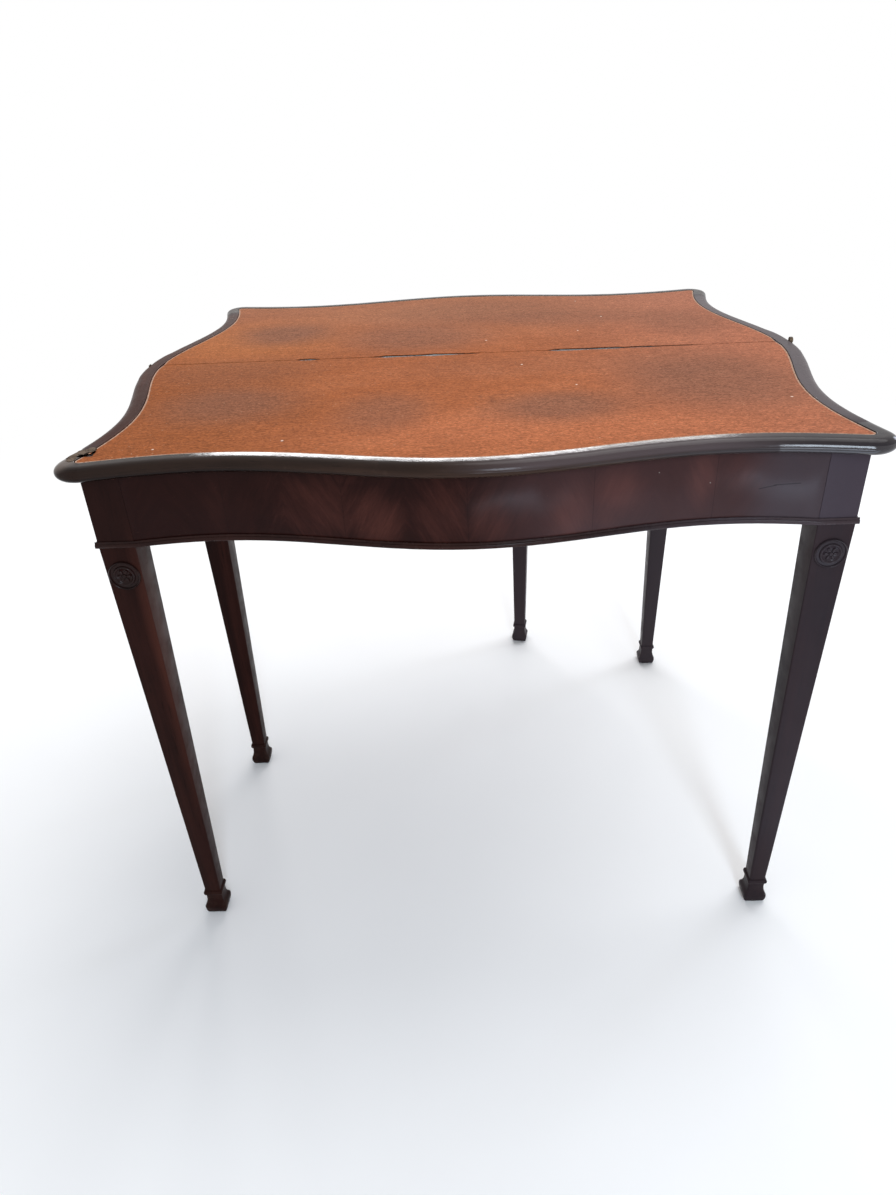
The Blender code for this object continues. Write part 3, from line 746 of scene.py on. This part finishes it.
def leaf_line(inset):
    """Right half of a leaf's outline at one inset, from the seam round the tip to the middle."""
    points = [side_point(tip_side_y * step / side_steps, inset) for step in range(side_steps)]
    centre = Vector(side_point(tip_side_y, tip_radius))
    first = Vector(side_point(tip_side_y, 0)) - centre
    turn = first.angle(Vector(front_point(tip_front_x, 0)) - centre)
    for step in range(tip_steps + 1):
        angle = math.atan2(first.y, first.x) + turn * step / tip_steps
        reach = tip_radius - inset
        points.append((centre.x + reach * math.cos(angle), centre.y + reach * math.sin(angle)))
    points += [front_point(tip_front_x * (1 - step / front_steps), inset)
               for step in range(1, front_steps + 1)]
    return points


# Lippings

nose_steps = 14
nose_radius = leaf_thickness / 2
nose_width = 0.013
top_arris = 0.0004
hinge_run = (0.05, 0.085)
rough_edge = 0.00018
rough_scale = 45.0
edge_runs = (side_steps - 3, side_steps + tip_steps)
edge_looks = {"front": ("side_edge", "tip_edge", "leaf_edge", "nose_edge"),
              "rear": ("side_edge", "rear_edge", "rear_edge")}
nose_band = range(9, 14)
nose_run = (0.336, 0.454)
nick_places = (
    ((0.4, -0.453, 0.729), 0.0045, 0.0016),
    ((0.383, -0.448, 0.73), 0.003, 0.0012),
    ((-0.44, -0.43, 0.73), 0.005, 0.0016),
    ((-0.445, -0.364, 0.735), 0.007, 0.002),
    ((0.01, -0.4555, 0.731), 0.003, 0.001),
    ((0.418, -0.262, 0.737), 0.0045, 0.0012),
)


def lipping_section(nose_width):
    """Closed section of the edge moulding, as (inset, depth under the top) points."""
    rebate = top_height - baize_foot + seam_gap
    points = [(lipping_width, rebate), (rim_width, rebate), (rim_width, top_arris),
              (rim_width - top_arris, 0.0), (nose_width, 0.0)]
    for step in range(1, nose_steps):
        angle = math.pi * step / nose_steps
        points.append((nose_width - nose_width * math.sin(angle),
                       nose_radius - nose_radius * math.cos(angle)))
    points += [(nose_width, leaf_thickness), (lipping_width - top_arris, leaf_thickness),
               (lipping_width, leaf_thickness - top_arris)]
    return points


def nicks(place):
    """How far the wood is knocked in at a place of the edge."""
    depth = 0.0
    for middle, radius, strength in nick_places:
        distance = (place - Vector(middle)).length
        depth += strength * (1 - smooth_step(distance, 0.0, radius))
    return depth + rough_edge * max(noise.noise(place * rough_scale), 0.0)


def edge_lines(facing):
    """Lines along one leaf's edge moulding, one for each point of its section."""
    lines = []
    for (near_inset, drop), (inset, _) in zip(lipping_section(nose_radius), lipping_section(nose_width)):
        right = []
        for (near_x, near_y), (x, y) in zip(leaf_line(near_inset), leaf_line(inset)):
            away = smooth_step(abs(y), *hinge_run)
            right.append((near_x + (x - near_x) * away, facing * (near_y + (y - near_y) * away)))
        right[0] = (right[0][0], facing * seam_gap)
        left = [(-x, y) for x, y in reversed(right[:-1])]
        lines.append([(x, y, top_height - drop) for x, y in right + left])
    return lines


def edge_rows(builder, facing):
    """The lines' vertices, knocked in towards the moulding's core at the nicks."""
    core_line = leaf_line(nose_width)
    rows = []
    for line in edge_lines(facing):
        row = []
        for step, point in enumerate(line):
            place = Vector(point)
            core_x, core_y = core_line[min(step, len(line) - 1 - step)]
            core = Vector((math.copysign(core_x, place.x), facing * core_y, top_height - nose_radius))
            row.append(builder.verts.new(place + (core - place).normalized() * nicks(place)))
        rows.append(row)
    return rows


def edge_slot(side, level, from_seam, x):
    """Which of the leaf's edge looks a face gets."""
    if side == "front" and level in nose_band and nose_run[0] < x < nose_run[1]:
        return len(edge_runs) + 1
    return sum(from_seam >= first for first in edge_runs)


def skin_edge(builder, rows, side):
    """The faces of an edge moulding, with UVs that run along it for the grain."""
    count = len(rows[0])
    run = [0.0]
    for step in range(1, count):
        run.append(run[-1] + (rows[0][step].co - rows[0][step - 1].co).length)
    grain = builder.loops.layers.uv.new("grain")
    begun = 0.0
    for level, (row, after) in enumerate(zip(rows, rows[1:] + rows[:1])):
        reached = begun + (after[0].co - row[0].co).length
        for step in range(count - 1):
            face = builder.faces.new((row[step], row[step + 1], after[step + 1], after[step]))
            face.material_index = edge_slot(side, level, min(step, count - 2 - step), row[step].co.x)
            corners = ((step, begun), (step + 1, begun), (step + 1, reached), (step, reached))
            for loop, (number, around) in zip(face.loops, corners):
                loop[grain].uv = (run[number], around)
        begun = reached
    builder.faces.new([row[0] for row in rows])
    builder.faces.new([row[-1] for row in reversed(rows)])


def make_lipping(side, facing):
    """The edge moulding of one leaf, lofted along the leaf's outline."""
    builder = bmesh.new()
    skin_edge(builder, edge_rows(builder, facing), side)
    piece = new_piece(side + "_edge_moulding", builder, sharp_angle)
    for look in edge_looks[side]:
        piece.data.materials.append(looks[look])
    for end in ("left", "right"):
        cut_recess(piece, side, end, facing)
    if side == "front":
        cut_hole(piece)
        add_flakes(piece)
    dress(piece, side + "_lipping")


def cut_recess(piece, side, end, facing):
    """Take the recess of a hinge plate out of the moulding."""
    low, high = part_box(end + "_hinge_" + side + "_plate")
    inner = high.x if end == "left" else low.x
    outer = inner + math.copysign(overrun * 2, inner)
    near, far = -facing * overrun, facing * (max(abs(low.y), abs(high.y)) + seam_gap)
    middle = Vector(((inner + outer) / 2, (near + far) / 2, top_height - leaf_thickness / 2))
    size = (abs(outer - inner), abs(far - near), leaf_thickness + overrun * 2, 1)
    builder = bmesh.new()
    bmesh.ops.create_cube(builder, size=1.0, matrix=Matrix.Translation(middle) @ Matrix.Diagonal(size))
    cut_away(piece, new_piece(side + end + "_recess", builder))


def cut_away(piece, cutter):
    """Take a cutter's shape out of a piece for good, and remove the cutter."""
    boolean = piece.modifiers.new("cut", "BOOLEAN")
    boolean.operation = "DIFFERENCE"
    boolean.object = cutter
    boolean.solver = "EXACT"
    boolean.material_mode = "TRANSFER" if cutter.data.materials else "INDEX"
    shape = bpy.data.meshes.new_from_object(piece.evaluated_get(bpy.context.evaluated_depsgraph_get()))
    piece.modifiers.remove(boolean)
    piece.data = shape
    bpy.data.objects.remove(cutter)


# Torn place at the front left tip

hole_lumps = (((-0.432, -0.3852), (0.005, 0.0052)), ((-0.4262, -0.3836), (0.0052, 0.005)),
              ((-0.4232, -0.3755), (0.0022, 0.006)))
hole_depth = 0.0045
flake_lumps = (((-0.4425, -0.3855), (0.0058, 0.009)), ((-0.437, -0.375), (0.0068, 0.0075)),
               ((-0.429, -0.368), (0.006, 0.007)), ((-0.44, -0.3965), (0.0045, 0.007)))
flake_height = 0.0006
lump_detail = 4
lump_scale = 2.4
lump_spread = 300
hole_ragged = 0.35
flake_ragged = 0.45


def edge_drop(x, y):
    """How far the edge moulding's round side lies below the top."""
    inset = side_point(abs(y), 0.0)[0] - abs(x)
    across = min(max((nose_width - inset) / nose_width, 0.0), 1.0)
    return nose_radius * (1 - math.sqrt(1 - across ** 2))


def lump(builder, middle, radii, height, ragged):
    """An uneven flat blob that follows the top's surface."""
    away = Vector((*middle, 0)) * lump_spread
    made = bmesh.ops.create_icosphere(builder, subdivisions=lump_detail, radius=1.0)["verts"]
    for vert in made:
        rough = 1 + ragged * noise.fractal(vert.co * lump_scale + away, 1.0, 2.0, 4)
        x, y = middle[0] + vert.co.x * radii[0] * rough, middle[1] + vert.co.y * radii[1] * rough
        vert.co = Vector((x, y, top_height - edge_drop(x, y) + vert.co.z * height * rough))
    return made


def cut_hole(piece):
    """Tear the hole out of the edge moulding or the cloth."""
    for middle, radii in hole_lumps:
        builder = bmesh.new()
        lump(builder, middle, radii, hole_depth, hole_ragged)
        cutter = new_piece("hole", builder)
        # The hole's walls take the near-black painted shade.
        cutter.data.materials.append(looks["dark_hole"])
        cut_away(piece, cutter)


def add_flakes(piece):
    """Raised bare wood round the hole."""
    builder = bmesh.new()
    builder.from_mesh(piece.data)
    for middle, radii in flake_lumps:
        for vert in lump(builder, middle, radii, flake_height, flake_ragged):
            for face in vert.link_faces:
                face.material_index = len(piece.data.materials)
                face.smooth = True
    builder.to_mesh(piece.data)
    builder.free()
    piece.data.materials.append(looks["bare_wood"])


make_lipping("front", -1)
make_lipping("rear", 1)


# Hinges

plate_cell = 0.002
plate_proud = 0.0001
eye_reach = 0.0056
eye_rises = {"left": 0.0007, "right": 0.006}
eye_faces = {"left": 0.4795, "right": 0.484}
screw_slot = 0.0007
screw_slot_depth = 0.0006
screw_taper = 0.5
screw_height = 0.6
screw_turn = 90
screw_sides = 24


def nose_reach(y, z):
    """How far out the edge moulding's side is beside a hinge."""
    across = min(abs(z - top_height + nose_radius) / nose_radius, 1.0)
    return side_point(abs(y), nose_radius * (1 - math.sqrt(1 - across ** 2)))[0]


def file_down(builder, side):
    """File a hinge piece flush with the round edge, and wear down its eye at the seam."""
    for vert in builder.verts:
        x, y, z = vert.co
        reach = eye_faces[side] if abs(y) <= eye_reach else nose_reach(y, z) + plate_proud
        vert.co.x = math.copysign(min(abs(x), reach), x)
        vert.co.z = min(z, top_height + eye_rises[side])


def make_filed(node, side, ending, cell=None):
    """A hinge's pin or, cut into cells, one of its plates, worn down with its eye."""
    builder = copied(node)
    if cell:
        slice_up(builder, *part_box(node), cell, axes=(1, 2))
    file_down(builder, side)
    dress(new_piece(node + ending, builder), node, look="brass")


def make_screw(node):
    """A slotted screw head, flush with its plate."""
    low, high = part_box(node)
    middle = (low + high) / 2
    outward = math.copysign(1, middle.x)
    radius = (high.z - low.z) / 2
    plate_low, plate_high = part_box(node[:node.index("_screw")])
    plate_face = max(abs(plate_low.x), abs(plate_high.x))
    face = outward * (min(nose_reach(middle.y, middle.z), plate_face) + plate_proud)
    builder = bmesh.new()
    depth = radius * screw_height
    bmesh.ops.create_cone(builder, cap_ends=True, segments=screw_sides, depth=depth,
                          radius1=radius * screw_taper, radius2=radius,
                          matrix=Matrix.Translation((0, 0, -depth / 2)))
    piece = new_piece(node + "_head", builder)
    slot = bmesh.new()
    bmesh.ops.create_cube(slot, size=1.0, matrix=Matrix.Rotation(middle.y * screw_turn, 4, "Z")
                          @ Matrix.Diagonal((radius * 3, screw_slot, screw_slot_depth * 2, 1)))
    cut_away(piece, new_piece(node + "_slot", slot))
    turn = Matrix.Rotation(outward * math.pi / 2, 4, "Y")
    piece.data.transform(Matrix.Translation((face, middle.y, middle.z)) @ turn)
    dress(piece, node, look="brass")


# Baize

seam_wear_runs = (
    (-0.254, -0.222, 0.006, 1.0), (-0.15, 0.01, 0.035, 1.0), (0.0, 0.024, 0.008, 0.5),
    (0.116, 0.245, 0.02, 1.05), (0.215, 0.302, 0.03, 0.7), (0.29, 0.345, 0.01, 0.3),
)
seam_line = 0.0011
seam_line_scale = 160
seam_reach = 0.004
ragged_waves = ((0.35, 30, 3.0), (0.2, 300, 9))
least_wear = 0.8
relief_scale = (14, 20)
ridge_y, ridge_width = -0.205, 0.004
ridge_bend, ridge_turns = 0.02, 9
ridge_start, ridge_end = (-0.12, 0.02), (0.2, 0.26)
ridge_rise = 1.5
least_top_area = 0.1
facing_up = 0.9


def worn_back(x):
    """How far the cloth's seam edge has worn back."""
    wear = 0.0
    for start, end, ramp, strength in seam_wear_runs:
        inside = smooth_step(x, start, start + ramp) * (1 - smooth_step(x, end - ramp, end))
        wear = max(wear, strength * inside)
    ragged = least_wear
    for share, scale, row in ragged_waves:
        ragged += share * noise.noise(Vector((x * scale, row, 0)))
    line = seam_line * (1 + noise.noise(Vector((x * seam_line_scale, 5, 0))))
    return seam_wear * wear * ragged + line


def baize_dip(x, y):
    """How far the cloth's top lies from its highest level, with one low ridge."""
    relief = noise.fractal(Vector((x * relief_scale[0], y * relief_scale[1], 0)), 1.0, 2.0, 4)
    aside = (y - ridge_y + ridge_bend * math.sin(x * ridge_turns)) / ridge_width
    ridge = math.exp(-aside ** 2) * smooth_step(x, *ridge_start) * (1 - smooth_step(x, *ridge_end))
    return (min(relief + ridge * ridge_rise, 1.0) - 1.0) * baize_relief


def mark_cut_edge(builder):
    """Give the rim and sides of the cloth, but not its seam edge, the look of the cut."""
    tops = [face for face in builder.faces if face.normal.z > facing_up]
    bmesh.ops.inset_region(builder, faces=tops, thickness=baize_rim)
    inner = {face for face in tops if face.calc_area() > least_top_area}
    for face in builder.faces:
        at_seam = max(abs(vert.co.y) for vert in face.verts) < 2 * baize_rim
        face.material_index = 0 if face in inner or at_seam else 1


def make_baize(side, facing):
    """The cloth of one leaf: a little uneven, with a pale cut edge and a worn seam edge."""
    node = side + "_baize"
    low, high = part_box(node)
    builder = copied(node)
    builder.normal_update()
    for vert in builder.verts:
        if abs(vert.co.y) > seam_reach:
            outward = Vector((vert.normal.x, vert.normal.y, 0)).normalized()
            vert.co += outward * (lipping_width - rim_width - baize_groove)
    mark_cut_edge(builder)
    slice_up(builder, low, high, baize_cell)
    middle = (low.z + high.z) / 2
    for vert in builder.verts:
        x, y, z = vert.co
        if z > middle:
            vert.co.z = z + baize_dip(x, y)
        if abs(y) < baize_cell:
            vert.co.y += facing * worn_back(x) * (1 - abs(y) / baize_cell)
    piece = new_piece(side + "_baize_cloth", builder, sharp_angle)
    for look in ("baize", "baize_cut"):
        piece.data.materials.append(looks[look])
    if side == "front":
        cut_hole(piece)
    dress(piece, node)


make_baize("front", -1)
make_baize("rear", 1)
for side in ("left", "right"):
    make_filed(side + "_hinge_pin", side, "_worn")
    for leaf in ("front", "rear"):
        plate = side + "_hinge_" + leaf + "_plate"
        make_filed(plate, side, "_filed", plate_cell)
        for number in ("1", "2"):
            make_screw(plate + "_screw_" + number)


# Legs

corner_steps = 4
taper_steps = 12
collar_steps = 8
spade_steps = 7
collar_roundness = 0.8
spade_flare = 4
sole_chamfer = (0.0006, 0.0015)
chamfer_share = 0.35
band_bulge = 0.0001
wear_fade = 0.02
wear_scale = 130.0
uneven_relief = 0.0001
uneven_scale = 20
leg_sharp_angle = math.radians(38)


def leg_ring(half_x, low_y, high_y, corner, height):
    """Points of a rectangle with round corners, at one height."""
    corners = (half_x, high_y), (-half_x, high_y), (-half_x, low_y), (half_x, low_y)
    points = []
    for number, (x, y) in enumerate(corners):
        centre_x = x - math.copysign(corner, x)
        centre_y = y - corner if number < 2 else y + corner
        for step in range(corner_steps + 1):
            angle = (number + step / corner_steps) * math.pi / 2
            points.append((centre_x + corner * math.cos(angle), centre_y + corner * math.sin(angle),
                           height))
    return points


def foot_profile():
    """(half width, corner, height) from under a leg's ankle down to the sole."""
    ankle, collar = ankle_width / 2, collar_width / 2
    neck, spade, sole = neck_width / 2, spade_width / 2, sole_width / 2
    collar_foot = ankle_height - collar_height
    profile = []
    for step in range(1, collar_steps + 1):
        angle = math.pi * step / collar_steps
        height = collar_foot + collar_height * (1 + math.cos(angle)) / 2
        start = ankle if step < collar_steps / 2 else neck
        width = start + (collar - start) * math.sin(angle) ** collar_roundness
        profile.append((width, collar_arris, height))
    for step in range(1, spade_steps + 1):
        share = step / spade_steps
        height = collar_foot + (spade_height - collar_foot) * share
        profile.append((neck + (spade - neck) * share ** spade_flare, foot_arris, height))
    band_foot = spade_height - spade_band
    lowest = ((spade + band_bulge, spade_height - spade_band / 2), (spade - band_bulge, band_foot),
              ((spade + sole) / 2 + band_bulge, (band_foot + sole_edge_height) / 2),
              (sole, sole_edge_height), (sole - sole_chamfer[0], sole_edge_height * chamfer_share),
              (sole - sole_chamfer[1], 0.0))
    return profile + [(width, foot_arris, height) for width, height in lowest]


def leg_rings(notched_from):
    """Rings from a leg's head to its sole. The head of a gate leg is notched from one side."""
    half, ankle = leg_width / 2, ankle_width / 2
    start, high_y, corner, head_foot = frame_bottom, half, head_arris, frame_bottom + notch_shoulder
    if notched_from is not None:
        start = head_foot = frame_bottom - notch_shoulder
        high_y, corner = notched_from, arris
    rings = [leg_ring(half, -half, high_y, corner, height) for height in (frame_top, head_foot)]
    profile = []
    for step in range(taper_steps + 1):
        share = step / taper_steps
        height = start + (ankle_height - start) * share
        width = half + (ankle - half) * (frame_bottom - height) / (frame_bottom - ankle_height)
        profile.append((width, arris + (foot_arris - arris) * share, height))
    return rings + [leg_ring(width, -width, width, corner, height)
                    for width, corner, height in profile + foot_profile()]


def worn_place(spot, middle):
    """A place of a leg's skin, moved inwards by wear, most of it on the foot."""
    worn = foot_wear * (1 - smooth_step(spot.z, ankle_height, ankle_height + wear_fade))
    worn *= noise.noise(spot * wear_scale) if spot.z > sole_edge_height else 0.0
    inward = Vector((middle.x - spot.x, middle.y - spot.y, 0)).normalized()
    return spot + inward * (abs(worn) + uneven_relief * noise.noise(spot * uneven_scale))


def make_leg(node, notched_from=None, turn=0.0):
    """A square tapered leg with soft corners and a shaped, worn foot."""
    low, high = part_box(node)
    middle = Vector(((low.x + high.x) / 2, (low.y + high.y) / 2, 0))
    place = Matrix.Translation(middle) @ Matrix.Rotation(turn, 4, "Z")
    builder = bmesh.new()
    rows = [[builder.verts.new(worn_place(place @ Vector(point), middle)) for point in ring]
            for ring in leg_rings(notched_from)]
    loft(builder, rows)
    bmesh.ops.remove_doubles(builder, verts=builder.verts, dist=weld_distance)
    dress(new_piece(node + "_wood", builder, leg_sharp_angle), node, look="leg")


for node in ("front_left_leg", "front_right_leg", "rear_left_leg"):
    make_leg(node)


# Rosettes

rosette_rings = (
    (0.12, 0.42), (0.5, 0.38), (0.53, 0.6), (0.57, 0.9), (0.61, 0.99), (0.65, 0.9), (0.685, 0.56),
    (0.705, 0.3), (0.86, 0.25), (0.885, 0.52), (0.915, 0.78), (0.945, 0.84), (0.975, 0.66), (1.0, 0.3),
    (1.0, 0.0),
)
petal_count = 6
petal_rings = 8
rosette_sides = 56
rosette_depth = 0.0035
petal = (0.155, 0.095, 0.42), (0.29, 0.0, 0.46), 12
button = (0.13, 0.13, 0.38), (0.0, 0.0, 0.62), 14
rosette_sharp_angle = math.radians(60)


def carve_lump(builder, radius, sizes, place, sides, turn=0.0):
    """A rounded lump of the flower, with its sizes and place in shares of the rosette's."""
    share = Matrix.Rotation(turn, 4, "Z") @ Matrix.Diagonal((radius, radius, rosette_depth, 1))
    shape = share @ Matrix.Translation(place) @ Matrix.Diagonal((*sizes, 1))
    bmesh.ops.create_uvsphere(builder, u_segments=sides, v_segments=petal_rings, radius=1.0, matrix=shape)


def make_rosette(node):
    """A turned rosette with two raised rings and a small carved flower in its middle."""
    low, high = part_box(node)
    radius = (high.x - low.x) / 2
    builder = bmesh.new()
    angles = [2 * math.pi * side / rosette_sides for side in range(rosette_sides)]
    rows = [[builder.verts.new((radius * share * math.cos(angle), radius * share * math.sin(angle),
                                rosette_depth * rise)) for angle in angles]
            for share, rise in rosette_rings]
    loft(builder, rows)
    for number in range(petal_count):
        carve_lump(builder, radius, *petal, 2 * math.pi * number / petal_count)
    carve_lump(builder, radius, *button)
    face = Vector(((low.x + high.x) / 2, high.y, (low.z + high.z) / 2))
    taper = math.atan((leg_width - ankle_width) / 2 / (frame_bottom - ankle_height))
    lean = Matrix.Rotation(math.pi / 2 + taper, 4, "X")
    bmesh.ops.transform(builder, verts=builder.verts, matrix=Matrix.Translation(face) @ lean)
    dress(new_piece(node + "_carving", builder, rosette_sharp_angle), node, look="rosette")


make_rosette("left_rosette")
make_rosette("right_rosette")


# Gate legs, which have notched heads

gate_rail_low, gate_rail_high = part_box("right_gate_rail")
gate_half = (gate_rail_high.x - gate_rail_low.x) / 2
notch_half = gate_half - (leg_width / 2 - gate_half)
right_turn = math.radians(90)
centre_turn = math.pi - math.radians(joints["centre_gate_swing"]["range_deg"][1])
make_leg("right_gate_leg", notched_from=notch_half, turn=right_turn)
make_leg("centre_gate_leg", notched_from=notch_half, turn=centre_turn)


# Camera


def aim_camera():
    """The photograph's camera, from its place, its focal length and its three turns."""
    lens = bpy.data.cameras.new("camera")
    lens.sensor_width = sensor_width
    lens.lens = sensor_width * focal_pixels / max(photo_width, photo_height)
    camera = new_object("camera", lens)
    placed = Matrix.Translation(camera_place)
    for angle, axis in ((-camera_yaw, "Z"), (math.pi / 2 - camera_pitch, "X"), (-camera_roll, "Z")):
        placed @= Matrix.Rotation(angle, 4, axis)
    camera.matrix_world = placed
    bpy.context.scene.camera = camera


aim_camera()


# Floor and light


def seen_directly(tree):
    """1 for rays that come from the camera, a reflection or clear glass, else 0."""
    rays = tree.nodes.new("ShaderNodeLightPath").outputs
    seen = rays["Is Camera Ray"]
    for name in ("Is Glossy Ray", "Is Transmission Ray"):
        seen = put(tree, "Math", {0: seen, 1: rays[name]}, operation="MAXIMUM").outputs["Value"]
    return seen


def make_world():
    """A pale sky that lights the table, with plain white where the camera sees it."""
    world = bpy.data.worlds.new("studio")
    bpy.context.scene.world = world
    world.use_nodes = True
    tree = world.node_tree
    sky = tree.nodes["Background"]
    sky.inputs["Color"].default_value = sky_colour
    sky.inputs["Strength"].default_value = sky_strength
    backdrop = put(tree, "Background", {"Color": backdrop_colour})
    inputs = {0: seen_directly(tree), 1: sky.outputs[0], 2: backdrop.outputs[0]}
    shader = put(tree, "MixShader", inputs).outputs[0]
    tree.links.new(shader, tree.nodes["World Output"].inputs["Surface"])


def make_floor():
    """A pale floor that takes the shadow near the table and runs out to plain white around it."""
    builder = bmesh.new()
    bmesh.ops.create_grid(builder, x_segments=8, y_segments=8, size=floor_size / 2)
    floor = new_piece("studio_floor", builder)
    floor.location.z = -floor_drop
    look = Look("pale_floor", roughness=0.9, specular=0.1)
    look.ramp(look.noise(3.0, detail=2.0), ((0.3, (920, 920, 920)), (0.7, (940, 940, 940))))
    away = look.span(look.vector("LENGTH", look.place), *floor_fade)
    share = look.times(away, seen_directly(look.tree))
    white = look.put("Emission", {"Strength": 1.0}).outputs["Emission"]
    shader = look.put("MixShader", {0: share, 1: look.surface.outputs["BSDF"], 2: white}).outputs["Shader"]
    look.tree.links.new(shader, look.tree.nodes["Material Output"].inputs["Surface"])
    floor.data.materials.append(look.finish())


def area_lamp(name, size, place, turn, power, colour):
    lamp = bpy.data.lights.new(name, "AREA")
    lamp.shape = "RECTANGLE"
    lamp.size, lamp.size_y = size
    lamp.energy = power
    lamp.color = colour
    holder = new_object(name, lamp)
    holder.location = place
    holder.rotation_euler = turn
    holder.visible_camera = False


def make_lights():
    """A soft sun, windows, and patches of lit floor that the polish reflects."""
    sun = bpy.data.lights.new("soft_key", "SUN")
    sun.energy = sun_strength
    sun.angle = sun_spread
    new_object("soft_key", sun).rotation_euler = (*sun_tilt, 0)
    for name, size, place, target, power, colour in lamps:
        turn = (Vector(target) - Vector(place)).to_track_quat("-Z", "Y").to_euler()
        area_lamp(name, size, place, turn, power, colour)
    for name, size, place, turn, power, colour in floor_glows:
        area_lamp(name, size, place, (math.pi, 0, math.radians(turn)), power, colour)


make_world()
make_floor()
make_lights()
bpy.context.scene.view_settings.view_transform = "Standard"
